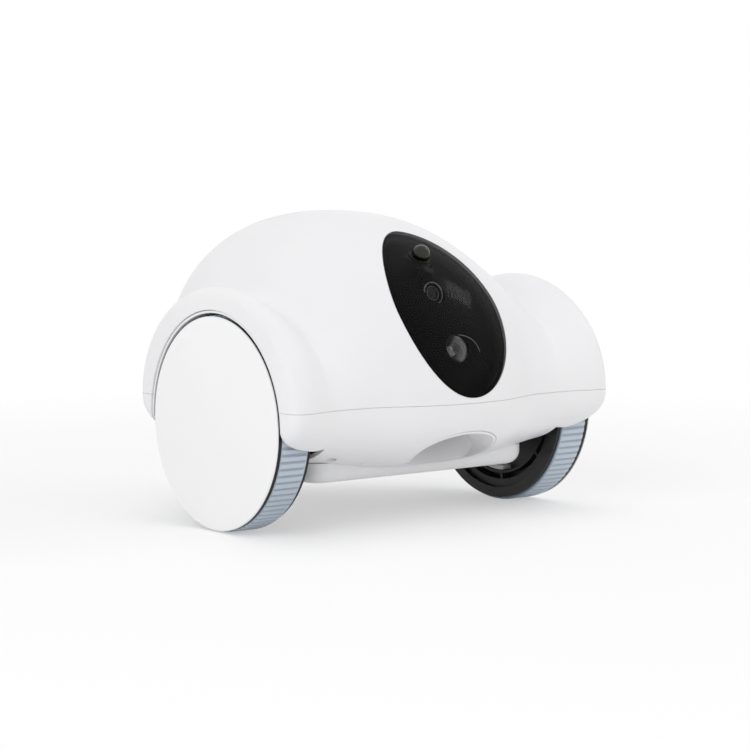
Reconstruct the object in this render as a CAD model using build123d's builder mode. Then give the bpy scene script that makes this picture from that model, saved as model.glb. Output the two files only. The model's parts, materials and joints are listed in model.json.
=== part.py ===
from build123d import *
import math
import os

os.makedirs("parts", exist_ok=True)

# Robotic pet camera: a two wheeled rover that films and drops treats.
# Millimetres, +Z up, floor at z = 0, nose towards -Y, the rover's left side is +X.
# The origin is under the middle of the body's own length and width.

# Body surface: slices across X, each a half superellipse above and below the seam
body_half_width = 119.5
dome_half_width = 99.0
dome_top = 183.0
dome_apex = 39.0
dome_front = 92.0
dome_rear = 148.0
dome_power = 2.2
fender_radius = 80.0
fender_fade = 45.0
saddle_power = 4.0
rear_power = 8.0
rear_roundness = 2.55
skirt_front = 75.0
skirt_blend = 8.0
skirt_turn_start = 85.0
skirt_turn_length = 25.0
bottom_height = 30.0
bottom_rise = 22.0
bottom_power = 3.2
bottom_roundness = 2.7
bottom_middle = 26.0
end_radius = 7.5
slice_shares = (0, 0.143, 0.277, 0.393, 0.491, 0.58, 0.661, 0.732, 0.795, 0.857, 0.92)
roll_steps = 4
curve_steps = 16
slope_step = 0.01

# Walls and general clearances
wall = 2.4
inner_wall = 1.6
skin_gap = 0.3
seam_gap = 0.5
seat_gap = 0.1
running_gap = 0.03
cut_margin = 5.0
fit_gap = 0.05
lap_depth = 3.5
lap_height = 1.4
lap_wall = 1.2

# Heights and the wheel axle
axle_height = 63.0
seam_height = 75.0
arch_radius = 66.0
arch_start = 88.0

# Wheels
wheel_radius = 63.0
tyre_valley_depth = 0.8
tyre_seat_radius = 57.0
tyre_inner_x = 97.0
tyre_outer_x = 115.5
rib_count = 90
rib_crest_share = 0.5
rib_flank_share = 0.12
rim_inner_x = 94.4
cap_face_x = 119.1
rim_flange = 2.5
rim_inner_flange_radius = 61.3
rim_outer_flange_radius = 62.0
rim_mouth_radius = 55.0
rim_bore_radius = 50.0
rim_web_x = 104.0
rim_web = 2.2
rim_shell = 2.5
rim_rib = 1.6
rim_rib_count = 8
rim_rib_turn = 265.0
hub_boss_radius = 8.5
hub_boss_outer_x = 114.5
cap_radius = 62.3
cap_edge = 1.1
cap_crown = 0.4
cap_corner = 0.5
tab_radius = 44.3
tab_wall = 2.6
tab_count = 4
tab_turn = 273.5
tab_half_angle = 10.0
tab_end_x = 98.0
hook_depth = 1.1
hook_length = 2.2
slot_gap = 0.5
slot_side = 1.0
hook_side = 2.0
hook_root = 1.0
tab_root = 0.2
guide_wall = 1.6
guide_drop = 0.6
guide_room = 0.1
rim_hub_step = 0.4
rim_rib_inner = 26.5

# Drive train on each side
axle_radius = 2.5
axle_flat = 2.0
axle_inner_x = 60.0
axle_outer_x = 113.0
screw_radius = 1.45
screw_bore = 1.55
hub_screw_length = 9.0
hub_screw_head = 3.6
hub_screw_head_height = 2.2
hub_screw_end_gap = 0.5
hub_socket_depth = 1.2
hub_socket_radius = 1.3
gear_module = 0.7
gear_teeth = 34
pinion_teeth = 12
gear_backlash = 0.14
pressure_angle = 20.0
dedendum = 1.25
flank_steps = 4
gear_inner_x = 69.5
gear_width = 6.0
pinion_extra = 0.5
gear_hub_radius = 5.5
gear_hub_length = 3.0
gear_web = 2.5
gear_rim_wall = 2.2
motor_radius = 10.4
motor_length = 34.0
motor_boss_radius = 5.0
motor_boss_length = 1.3
motor_shaft_radius = 1.0
motor_shaft_depth = 9.0
motor_edge = 1.0
gearbox_inner_x = 62.0
gearbox_outer_x = 80.0
gearbox_cover_wall = 2.0
gearbox_front = 16.0
gearbox_wall = 1.5
gearbox_boss = 2.8
gearbox_screw_radius = 1.0
gearbox_screw_head = 2.1
gearbox_screw_head_height = 1.4
gearbox_screw_length = 10.0
gearbox_screw_floor = 2.0
bush_boss_wall = 2.0
shaft_boss_wall = 1.2
shaft_boss_gap = 2.5
shaft_end_gap = 0.3
gearbox_rear = 32.0
gearbox_bottom = 48.0
gearbox_top = 79.5
gearbox_corner = 4.0
gearbox_screw_inset = 3.4
bush_radius = 4.0
bush_flange_radius = 5.4
bush_flange = 1.0
bush_inner_length = 4.0
bush_outer_reach = 7.2

# Wheel well cups
well_radius = 65.7
well_wall = 1.5
well_floor_x = 86.0
well_outer_x = 118.6
well_inset = 2.7
well_edge_inset = 0.8
well_bush_gap = 0.2
well_cut_inner = 80.0

# Visor, seen square to its own plane
visor_y = -60.0
visor_z = 123.0
visor_lean = 41.0
visor_half_width = 37.5
visor_top = 63.9
visor_bottom = 55.4
visor_top_power = 1.7
visor_bottom_power = 2.07
visor_wall = 2.0
visor_steps = 10
fascia_flange = 2.2
fascia_flange_wall = 1.5
fascia_depth = 9.5
fascia_wall = 1.6
fascia_side = 3.0
fascia_side_wall = 1.4
middle_half_width = 48.0

# Camera, lamp, motion sensor and microphone
eye_tilt = 18.0
lens_y = -52.0
lens_z = 135.9
lens_radius = 7.0
lens_ring_radius = 9.75
lens_glass_radius = 4.6
lens_glass_wall = 1.6
lens_seat_lip = 0.8
lens_seat_bite = 0.2
lens_collar_low = 4.0
lens_collar_top = 1.0
lens_collar_step = 1.2
lens_proud = 2.4
barrel_length = 13.0
barrel_wall = 1.3
camera_board_size = 25.0
camera_post_radius = 2.2
camera_post_inset = 3.0
board_wall = 1.6
board_corner = 2.0
chip_corner = 0.5
sensor_chip = 7.0
sensor_chip_wall = 1.4
lamp_y = -75.4
lamp_z = 105.3
lamp_radius = 8.2
lamp_depth = 6.0
lamp_wall = 0.9
lamp_lens_radius = 3.2
lamp_lens_length = 6.5
lamp_lens_foot = 0.4
lamp_board_gap = 0.5
lamp_hole_margin = 2.0
lamp_board_size = 18.0
dome_y = -43.0
dome_radius = 5.5
dome_height = 5.2
dome_wall = 1.0
dome_flange_radius = 7.0
dome_flange_wall = 1.0
dome_flange_gap = 0.4
dome_base_gap = 0.2
sensor_can_radius = 4.0
sensor_can_height = 3.6
sensor_board_size = 13.0
mic_y = -52.3
mic_hole_radius = 0.7
mic_radius = 3.0
mic_height = 3.0
mic_gap = 0.5
mic_collar_wall = 1.2
mic_collar_low = 1.0

# Treat lid, hopper, rotor and chute
lid_front = 56.0
lid_rear = 112.0
lid_half_width = 32.0
lid_corner = 12.0
lid_gap = 0.5
lid_swing_gap = 1.3
lid_tab_half_width = 15.0
hinge_back = 6.5
hinge_depth = 2.6
hinge_radius = 2.4
hinge_clear = 0.4
hinge_pin_radius = 1.0
hinge_ear_length = 5.5
hinge_ear_radius = 2.2
hopper_y = 84.0
hopper_radius = 28.0
hopper_floor = 108.0
hopper_floor_wall = 2.0
hopper_inset = 3.0
hopper_leg_x = 31.0
hopper_leg_width = 4.0
hopper_leg_depth = 14.0
hopper_foot_wall = 3.0
hopper_foot_screw = 7.2
hopper_screw_head_height = 1.6
rotor_radius = 25.8
rotor_height = 13.0
rotor_lift = 0.3
rotor_pockets = 6
pocket_radius = 7.0
pocket_circle = 17.3
rotor_cone = 6.0
rotor_cone_lean = 35.0
rotor_shaft_radius = 1.5
rotor_shaft_length = 9.0
feeder_motor_radius = 8.3
feeder_motor_length = 24.0
feeder_boss_radius = 4.0
chute_wall = 1.6
chute_gap = 0.15
chute_rear_y = 73.5
chute_rear_width = 9.0
chute_rear_height = 9.0
chute_rear_z = 93.0

# Treat outlet under the nose
outlet_half_width = 27.4
outlet_half_height = 11.0
outlet_z = 45.7
outlet_front = 92.0
outlet_lip_y = -58.0
outlet_lip_half_width = 27.0
outlet_waist_y = -44.0
outlet_waist_width = 20.0
outlet_waist_height = 9.5
outlet_waist_z = 60.0

# Belly, chassis and battery
belly_half_width = 83.0
belly_front = 46.0
belly_rear = 60.0
belly_corner = 14.0
belly_low = 28.5
belly_top = 41.0
belly_fillet = 8.0
belly_gap = 0.3
belly_wall = 2.2
belly_boss_floor = 2.5
chassis_low = 46.0
chassis_wall = 2.0
chassis_half_width = 76.0
chassis_front = 41.0
chassis_middle = 70.0
chassis_rear = 101.0
chassis_rear_half_width = 58.0
chassis_corner = 8.0
chassis_tab_width = 13.0
chassis_tab_front = 58.0
chassis_boss_height = 8.0
battery_length = 72.0
battery_width = 52.0
battery_height = 13.5
battery_y = 12.0
battery_corner = 3.0
post_radius = 4.5
post_hole = 1.6
post_floor = 8.0
post_front_x = 51.0
post_front_y = -51.0
post_rear_x = 52.0
post_rear_y = 84.0

# Shell screws
shell_screw_front_x = 74.0
shell_screw_front_y = -52.0
shell_screw_rear_x = 68.0
shell_screw_rear_y = 82.0
shell_screw_seat = 58.0
shell_screw_tip = 86.0
screw_head_radius = 2.9
screw_head_height = 2.0
screw_well_radius = 3.3
small_screw_head_height = 1.5
post_screw_length = 7.0
board_screw_length = 8.0
socket_length = 2.6
socket_width = 0.7
socket_corner = 0.3
socket_depth = 0.8

# Boards and what sits on them
main_board_z = 60.0
main_board_half_width = 25.0
main_board_front = 62.0
main_board_rear = 138.0
main_board_hole_front = 66.0
main_board_hole_rear = 96.0
standoff_radius = 2.6
standoff_x = 21.0
board_chips = (
    (0, 88, 14, 14, 1.4),
    (-14, 84, 8, 12, 2.2),
    (12, 106, 12, 9, 2.6),
)
speaker_x = -41.0
speaker_z = 60.0
speaker_radius = 12.0
speaker_height = 6.0
speaker_y = 116.8
speaker_collar = 1.2
speaker_rim = 1.5
speaker_magnet_radius = 7.2
sound_hole_radius = 0.9
sound_hole_pitch = 4.0
sound_rings = 2
port_half_width = 4.6
port_half_height = 1.7
port_wall = 0.5
port_depth = 12.0
port_tongue = 0.7
port_gap = 0.3
port_floor = 2.0
port_tongue_inset = 1.5
port_tongue_margin = 1.2
slot_flat = 0.1
button_x = 18.0
button_z = 63.5
button_radius = 5.0
button_gap = 0.25
button_proud = 1.0
button_travel = 0.8
button_flange = 1.4
button_flange_wall = 1.0
button_seat = 6.0
button_stem_radius = 1.7
button_edge = 0.6
switch_half_width = 3.0
switch_depth = 5.0
switch_height = 3.8
switch_plunger = 0.8
switch_plunger_radius = 1.2
switch_inset = 1.0
status_x = -14.0
status_radius = 1.6
status_lap = 2.0
status_block_half = 2.0
status_block_depth = 5.0
status_block_inset = 1.0
status_block_height = 3.5

# Rear castor
castor_y = 95.0
castor_trail = 10.0
castor_radius = 12.5
castor_width = 10.0
castor_crown = 1.2
castor_axle_radius = 1.5
castor_gap = 0.4
fork_wall = 2.0
fork_plate_low = 27.3
fork_plate_wall = 2.6
fork_plate_radius = 9.5
fork_leg_radius = 4.0
fork_leg_rear = 6.0
fork_stem_radius = 3.0
fork_stem_top = 42.5
fork_clip_radius = 4.6
fork_clip_wall = 1.0
castor_bush_radius = 4.6
castor_bush_flange_radius = 7.0
castor_boss_radius = 8.0
castor_boss_top = 40.0
castor_boss_low = 31.6
castor_bush_flange = 1.1
castor_bush_lap = 1.0
clip_gap = 0.2
castor_head_radius = 2.55
castor_head_wall = 0.8


def smooth_step(t):
    """Smooth rise from 0 to 1."""
    t = min(max(t, 0.0), 1.0)
    return t * t * (3 - 2 * t)


def slice_sizes(x):
    """Front reach, rear reach, height and depth of the body's slice at x, and the dome's share."""
    across = min(abs(x), body_half_width)
    share = max(0.0, 1 - (across / dome_half_width) ** dome_power) ** (1 / dome_power)
    dome_rise = (dome_top - seam_height) * share
    fade = min(max((body_half_width - across) / fender_fade, 0.0), 1.0)
    fender_rise = (fender_radius - seam_height + axle_height) * math.sqrt(1 - fade * fade)
    total = dome_rise ** saddle_power + fender_rise ** saddle_power
    rise = total ** (1 / saddle_power)
    weight = dome_rise ** saddle_power / total
    nose = (dome_apex + dome_front) * share - dome_apex
    turn = smooth_step((across - skirt_turn_start) / skirt_turn_length)
    skirt = skirt_front + (fender_radius - skirt_front) * turn
    front = (nose + skirt + math.hypot(nose - skirt, skirt_blend)) / 2
    tail = dome_apex + (dome_rear - dome_apex) * share
    rear = (tail ** rear_power * smooth_step(share * 4) + fender_radius ** rear_power) ** (1 / rear_power)
    lift = bottom_rise * (across / body_half_width) ** bottom_power
    return front, rear, rise, seam_height - bottom_height - lift, weight


axle_y = (slice_sizes(0)[0] - slice_sizes(0)[1]) / 2
wheel_axis = Axis((0, axle_y, axle_height), (1, 0, 0))
sides = (("left", 1), ("right", -1))


def slice_points(x, less, upper):
    """Points of a half superellipse, front to rear, in the YZ plane, drawn in by less."""
    front, rear, rise, depth, weight = slice_sizes(x)
    if upper:
        middle = dome_apex * weight
        tall = rise - less
        front_power = 2
        rear_power_here = 2 + (rear_roundness - 2) * weight
    else:
        middle = bottom_middle * weight
        tall = less - depth
        front_power = bottom_roundness
        rear_power_here = bottom_roundness
    points = []
    for step in range(curve_steps + 1):
        angle = math.pi * step / curve_steps
        along = math.cos(angle)
        power = front_power if along > 0 else rear_power_here
        reach = front - less + middle if along > 0 else rear - less - middle
        y = middle - reach * math.copysign(abs(along) ** (2 / power), along)
        z = seam_height + tall * abs(math.sin(angle)) ** (2 / power)
        points.append((axle_y + y, z))
    return points


def loft_slices(rolls, upper):
    """Solid through the slices at (x, how much smaller)."""
    with BuildPart() as half:
        for x, less in rolls:
            points = slice_points(x, less, upper)
            up = 1 if upper else -1
            with BuildSketch(Plane.YZ.offset(x)):
                with BuildLine():
                    Spline(*points, tangents=[(0, up), (0, -up)], tangent_scalars=(1, 1))
                    Line(points[-1], points[0])
                make_face()
        loft()
    return half.part


def half_body(upper, inset):
    """Upper or lower half of the body, everywhere inset below its skin."""
    turn = end_radius - inset
    flat = body_half_width - end_radius
    rolls = []
    for share in slice_shares:
        rolls.append((flat * share, inset))
    for step in range(roll_steps + 1):
        angle = math.pi / 2 * step / roll_steps
        rolls.append((flat + turn * math.sin(angle), inset + turn * (1 - math.cos(angle))))
    mirrored = [(-x, less) for x, less in reversed(rolls[1:])]
    return loft_slices(mirrored + rolls, upper)


def middle_body(inset):
    """The upper half's middle part alone, inset below its skin."""
    rolls = []
    for step in range(-3, 4):
        rolls.append((middle_half_width * step / 3, inset))
    return loft_slices(rolls, True)


def bar_x(start, end, y, z, radius, bore=0.0):
    """Round bar along X, or a tube where a bore is given."""
    with BuildPart() as bar:
        with BuildSketch(Plane.YZ.offset(start)):
            with Locations((y, z)):
                Circle(radius)
                if bore:
                    Circle(bore, mode=Mode.SUBTRACT)
        extrude(amount=end - start)
    return bar.part


def bar_y(start, end, x, z, radius, bore=0.0):
    """Round bar along Y, or a tube where a bore is given."""
    with BuildPart() as bar:
        with BuildSketch(Plane.XZ.offset(-start)):
            with Locations((x, z)):
                Circle(radius)
                if bore:
                    Circle(bore, mode=Mode.SUBTRACT)
        extrude(amount=start - end)
    return bar.part


def bar_z(start, end, x, y, radius, bore=0.0):
    """Round bar along Z, or a tube where a bore is given."""
    with BuildPart() as bar:
        with BuildSketch(Plane.XY.offset(start)):
            with Locations((x, y)):
                Circle(radius)
                if bore:
                    Circle(bore, mode=Mode.SUBTRACT)
        extrude(amount=end - start)
    return bar.part


def bar_on(plane, start, end, radius, bore=0.0, x=0.0, y=0.0):
    """Round bar or tube along a plane's normal, between two heights over it."""
    with BuildPart() as bar:
        with BuildSketch(plane.offset(start)):
            with Locations((x, y)):
                Circle(radius)
                if bore:
                    Circle(bore, mode=Mode.SUBTRACT)
        extrude(amount=end - start)
    return bar.part


def plate_on(plane, start, end, width, height, corner, x=0.0, y=0.0):
    """Rectangular plate with round corners along a plane's normal."""
    with BuildPart() as plate:
        with BuildSketch(plane.offset(start)):
            with Locations((x, y)):
                RectangleRounded(width, height, corner)
        extrude(amount=end - start)
    return plate.part


def dome_sag(radius, rise):
    """Rise of a shallow dome at half its radius, where it is part of a sphere."""
    ball = (radius ** 2 + rise ** 2) / (2 * rise)
    return math.sqrt(ball ** 2 - radius ** 2 / 4) - ball + rise


def block(x0, x1, y0, y1, z0, z1):
    """Square block between two corners."""
    with BuildPart() as solid:
        with BuildSketch(Plane.XY.offset(z0)):
            with Locations(((x0 + x1) / 2, (y0 + y1) / 2)):
                Rectangle(x1 - x0, y1 - y0)
        extrude(amount=z1 - z0)
    return solid.part


def turned(points, side):
    """Ring turned about the wheel axle from points (distance from the middle, radius)."""
    with BuildPart() as ring:
        with BuildSketch(Plane.XZ.offset(-axle_y)):
            with BuildLine():
                Polyline(*[(side * x, axle_height + r) for x, r in points], close=True)
            make_face()
        revolve(axis=wheel_axis)
    return ring.part


# Body surfaces that several pieces share
skin_top = half_body(True, 0)
skin_bottom = half_body(False, 0)
inside_top = half_body(True, wall)
inside_bottom = half_body(False, wall)


def arch_cut(side, radius):
    """Cylinder that a wheel turns in."""
    return bar_x(side * arch_start, side * (body_half_width + cut_margin), axle_y, axle_height, radius)


# Planes of the visor, of the camera and lamp, and of the motion sensor
lean = math.radians(visor_lean)
visor_plane = Plane(
    origin=(0, axle_y + visor_y, visor_z),
    x_dir=(1, 0, 0),
    z_dir=(0, -math.cos(lean), math.sin(lean)),
)
tilt = math.radians(eye_tilt)
eye_direction = (0, -math.cos(tilt), math.sin(tilt))


def egg_points(margin):
    """Right half of the visor's egg outline, top to bottom, in its own plane."""
    points = []
    for part, height, power in ((0, visor_top, visor_top_power), (1, -visor_bottom, visor_bottom_power)):
        for step in range(visor_steps + 1):
            if part and step == 0:
                continue
            angle = math.pi / 2 * (step / visor_steps if part else 1 - step / visor_steps)
            x = (visor_half_width + margin) * math.cos(angle) ** (2 / power)
            tall = height + margin * math.copysign(1, height)
            points.append((x, tall * math.sin(angle) ** (2 / power)))
    return points


def egg_prism(margin, start, end):
    """Prism of the visor's outline, grown by margin, between two heights over its plane."""
    right = egg_points(margin)
    left = [(-x, y) for x, y in reversed(right)]
    with BuildPart() as prism:
        with BuildSketch(visor_plane.offset(start)):
            with BuildLine():
                Spline(*right, tangents=[(1, 0), (-1, 0)], tangent_scalars=(1, 1))
                Spline(*left, tangents=[(-1, 0), (1, 0)], tangent_scalars=(1, 1))
            make_face()
        extrude(amount=end - start)
    return prism.part


visor_reach = 40.0
egg_hole = egg_prism(0, -visor_reach, visor_reach)


def skin_height(y):
    """Height of the dome's skin on the middle line, y from the wheel axle."""
    reach = slice_sizes(0)[0] + dome_apex if y < dome_apex else slice_sizes(0)[1] - dome_apex
    power = 2 if y < dome_apex else rear_roundness
    share = abs(y - dome_apex) / reach
    return seam_height + (dome_top - seam_height) * (1 - share ** power) ** (1 / power)


def skin_plane(y):
    """Plane that touches the dome's skin on the middle line at y from the wheel axle."""
    slope = (skin_height(y + slope_step) - skin_height(y - slope_step)) / (2 * slope_step)
    return Plane(origin=(0, axle_y + y, skin_height(y)), x_dir=(1, 0, 0), z_dir=(0, -slope, 1))


lens_plane = Plane(origin=(0, axle_y + lens_y, lens_z), x_dir=(1, 0, 0), z_dir=eye_direction)
lamp_plane = Plane(origin=(0, axle_y + lamp_y, lamp_z), x_dir=(1, 0, 0), z_dir=eye_direction)
dome_plane = skin_plane(dome_y)
mic_plane = skin_plane(mic_y)

# Treat lid outline, as a prism seen from above
lid_middle = axle_y + (lid_front + lid_rear) / 2
lid_length = lid_rear - lid_front
lid_low = 120.0
lid_high = dome_top + cut_margin
hinge_plane = skin_plane(lid_rear + hinge_back)
hinge_point = hinge_plane.origin - hinge_plane.z_dir * hinge_depth
hinge_line_y = hinge_point.Y
hinge_line_z = hinge_point.Z
tab_start = axle_y + lid_rear - lid_corner


def lid_prism(margin, swing=0.0):
    """Prism of the lid's outline and of its hinge tab, grown by margin, and by swing at the rear."""
    with BuildPart() as prism:
        with BuildSketch(Plane.XY.offset(lid_low)):
            with Locations((0, lid_middle + swing / 2)):
                length = lid_length + 2 * margin + swing
                RectangleRounded(2 * (lid_half_width + margin), length, lid_corner)
            tab_end = hinge_line_y + 2 * margin
            with Locations((0, (tab_start + tab_end) / 2)):
                Rectangle(2 * (lid_tab_half_width + margin), tab_end - tab_start)
        extrude(amount=lid_high - lid_low)
    return prism.part


shell_screws_at = [
    (sign * x, axle_y + y)
    for sign in (1, -1)
    for x, y in ((shell_screw_front_x, shell_screw_front_y), (shell_screw_rear_x, shell_screw_rear_y))
]

# Upper shell: dome and fenders in one moulding
screw_columns = half_body(True, wall / 2)
with BuildPart() as upper_shell:
    add(skin_top)
    add(inside_top, mode=Mode.SUBTRACT)
    for name, side in sides:
        add(arch_cut(side, arch_radius), mode=Mode.SUBTRACT)
    add(egg_hole, mode=Mode.SUBTRACT)
    add(lid_prism(lid_gap, lid_swing_gap), mode=Mode.SUBTRACT)
    for x, y in shell_screws_at:
        column = bar_z(seam_height, dome_top, x, y, post_radius, post_hole)
        add(column & screw_columns)
    for name, side in sides:
        start = side * (lid_tab_half_width + lid_gap)
        ear = bar_x(start, start + side * hinge_ear_length, hinge_line_y, hinge_line_z, hinge_ear_radius)
        add(ear)
    barrel_room = lid_tab_half_width + lid_gap
    clear = skin_height(hinge_line_y - axle_y) - hinge_line_z + hinge_clear
    add(bar_x(-barrel_room, barrel_room, hinge_line_y, hinge_line_z, clear), mode=Mode.SUBTRACT)
    pin_room = barrel_room + hinge_ear_length
    pin_bore = hinge_pin_radius + fit_gap
    add(bar_x(-pin_room, pin_room, hinge_line_y, hinge_line_z, pin_bore), mode=Mode.SUBTRACT)


def keep(part, name):
    """Label a finished piece and write it."""
    part.part.label = name
    export_step(part.part, "parts/" + name + ".step")


keep(upper_shell, "upper_shell")


def seam_ring(inset_out, inset_in, low, high):
    """Ring that follows the seam between two insets from the skin and two heights."""
    rings = []
    for inset in (inset_out, inset_in):
        turn = end_radius - inset
        flat = body_half_width - end_radius
        rolls = [(flat * share, inset) for share in slice_shares]
        for step in range(roll_steps + 1):
            angle = math.pi / 2 * step / roll_steps
            rolls.append((flat + turn * math.sin(angle), inset + turn * (1 - math.cos(angle))))
        rolls = [(-x, less) for x, less in reversed(rolls[1:])] + rolls
        front = [(x, axle_y - slice_sizes(x)[0] + less) for x, less in rolls]
        rear = [(x, axle_y + slice_sizes(x)[1] - less) for x, less in reversed(rolls)]
        with BuildPart() as solid:
            with BuildSketch(Plane.XY.offset(low)):
                with BuildLine():
                    Spline(*front)
                    Line(front[-1], rear[0])
                    Spline(*rear)
                    Line(rear[-1], front[0])
                make_face()
            extrude(amount=high - low)
        rings.append(solid.part)
    return rings[0] - rings[1]


def chute_body(margin, front_y, rear_y):
    """Sloping funnel from the hopper's exit down to the outlet, grown by margin."""
    with BuildPart() as funnel:
        stations = (
            (front_y, outlet_z, outlet_half_width, outlet_half_height),
            (outlet_lip_y, outlet_z, outlet_lip_half_width, outlet_half_height),
            (outlet_waist_y, outlet_waist_z, outlet_waist_width, outlet_waist_height),
            (rear_y, chute_rear_z, chute_rear_width, chute_rear_height),
        )
        for y, z, width, height in stations:
            with BuildSketch(Plane.XZ.offset(-axle_y - y)):
                with Locations((0, z)):
                    Ellipse(width + margin, height + margin)
        loft(ruled=True)
    return funnel.part


def belly_prism(margin, low, high):
    """Rounded rectangle of the belly cover, grown by margin."""
    with BuildPart() as prism:
        with BuildSketch(Plane.XY.offset(low)):
            with Locations((0, axle_y + (belly_rear - belly_front) / 2)):
                width = 2 * (belly_half_width + margin)
                length = belly_rear + belly_front + 2 * margin
                RectangleRounded(width, length, belly_corner + margin)
        extrude(amount=high - low)
    return prism.part


def rear_skin(x, z):
    """Y of the lower skin at the rear, at x and at height z."""
    front, rear, rise, depth, weight = slice_sizes(x)
    middle = bottom_middle * weight
    share = (1 - ((seam_height - z) / depth) ** bottom_roundness) ** (1 / bottom_roundness)
    return axle_y + middle + (rear - middle) * share


chassis_top = chassis_low + chassis_wall
small_screw_hole = gearbox_screw_radius + fit_gap
small_screw_room = gearbox_screw_radius + 3 * fit_gap
posts_at = [
    (sign * x, axle_y + y)
    for sign in (1, -1)
    for x, y in ((post_front_x, post_front_y), (post_rear_x, post_rear_y))
]
castor_at = (0, axle_y + castor_y)
belly_screws_at = [
    (sign * (belly_half_width - belly_corner), axle_y + y)
    for sign in (1, -1)
    for y in (belly_corner - belly_front, belly_rear - belly_corner)
]
belly_screw_seat = belly_low + belly_wall + belly_boss_floor
sound_holes_at = [(speaker_x, speaker_z)]
for ring in range(1, sound_rings + 1):
    for step in range(6 * ring):
        angle = math.pi / 3 * step / ring
        sound_holes_at.append(
            (
                speaker_x + ring * sound_hole_pitch * math.cos(angle),
                speaker_z + ring * sound_hole_pitch * math.sin(angle),
            )
        )
port_z = main_board_z + board_wall + port_half_height + port_wall
port_rear = rear_skin(0, port_z) - seat_gap
button_skin = rear_skin(button_x, button_z)
status_skin = rear_skin(status_x, button_z)
beyond = body_half_width + 4 * cut_margin

# Lower shell: bowl, outlet hole, belly opening, castor boss and posts
post_room = half_body(False, wall / 2)
with BuildPart() as lower_shell:
    add(skin_bottom)
    add(inside_bottom, mode=Mode.SUBTRACT)
    for x, y in shell_screws_at:
        add(bar_z(bottom_height - cut_margin, seam_height - 1, x, y, post_radius) & post_room)
    for x, y in posts_at:
        add(bar_z(bottom_height - cut_margin, chassis_low - seat_gap, x, y, post_radius) & post_room)
    add(bar_z(castor_boss_low, castor_boss_top, *castor_at, castor_boss_radius))
    collar_radius = speaker_radius + seat_gap + speaker_collar
    collar_start = axle_y + speaker_y
    collar = bar_y(collar_start, beyond, speaker_x, speaker_z, collar_radius, speaker_radius + seat_gap)
    add(collar & post_room)
    wide = body_half_width + 1
    lip = seam_height - seam_gap
    add(block(-wide, wide, -wide - 2, wide + 2, lip, seam_height + 1), mode=Mode.SUBTRACT)
    add(seam_ring(wall / 2, wall + skin_gap + lap_wall, seam_height - lap_depth, lip))
    add(seam_ring(wall + skin_gap, wall + skin_gap + lap_wall, lip, seam_height + lap_height))
    for name, side in sides:
        add(arch_cut(side, arch_radius), mode=Mode.SUBTRACT)
    add(belly_prism(belly_gap, bottom_height - cut_margin, belly_top + 1), mode=Mode.SUBTRACT)
    add(chute_body(chute_wall + chute_gap, -outlet_front - cut_margin, 0), mode=Mode.SUBTRACT)
    for x, y in shell_screws_at:
        add(bar_z(bottom_height - cut_margin, seam_height, x, y, post_hole), mode=Mode.SUBTRACT)
        well_low = bottom_height - cut_margin
        add(bar_z(well_low, shell_screw_seat, x, y, screw_well_radius), mode=Mode.SUBTRACT)
    for x, y in posts_at:
        add(bar_z(bottom_height + post_floor, seam_height, x, y, small_screw_hole), mode=Mode.SUBTRACT)
    bush_bore = castor_bush_radius + fit_gap
    add(bar_z(bottom_height - cut_margin, seam_height, *castor_at, bush_bore), mode=Mode.SUBTRACT)
    with BuildSketch(Plane.XZ.offset(-axle_y - speaker_y - speaker_height)):
        with Locations(*sound_holes_at):
            Circle(sound_hole_radius)
    extrude(amount=-(beyond - speaker_y), mode=Mode.SUBTRACT)
    with BuildSketch(Plane.XZ.offset(-port_rear + port_depth / 2)):
        with Locations((0, port_z)):
            half_width = port_half_width + port_wall + port_gap
            half_height = port_half_height + port_wall + port_gap
            RectangleRounded(2 * half_width, 2 * half_height, half_height - slot_flat)
        with Locations((button_x, button_z)):
            Circle(button_radius + button_gap)
        with Locations((status_x, button_z)):
            Circle(status_radius + fit_gap)
    extrude(amount=-port_depth, mode=Mode.SUBTRACT)
keep(lower_shell, "lower_shell")

# Visor and the dark tub behind it
with BuildPart() as visor:
    add(skin_top & egg_prism(-skin_gap, -visor_reach, visor_reach))
    add(middle_body(visor_wall), mode=Mode.SUBTRACT)
    add(bar_on(dome_plane, -visor_reach / 2, visor_reach / 2, dome_radius + skin_gap), mode=Mode.SUBTRACT)
    add(bar_on(mic_plane, -visor_reach / 2, visor_reach / 2, mic_hole_radius), mode=Mode.SUBTRACT)
keep(visor, "visor")

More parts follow.
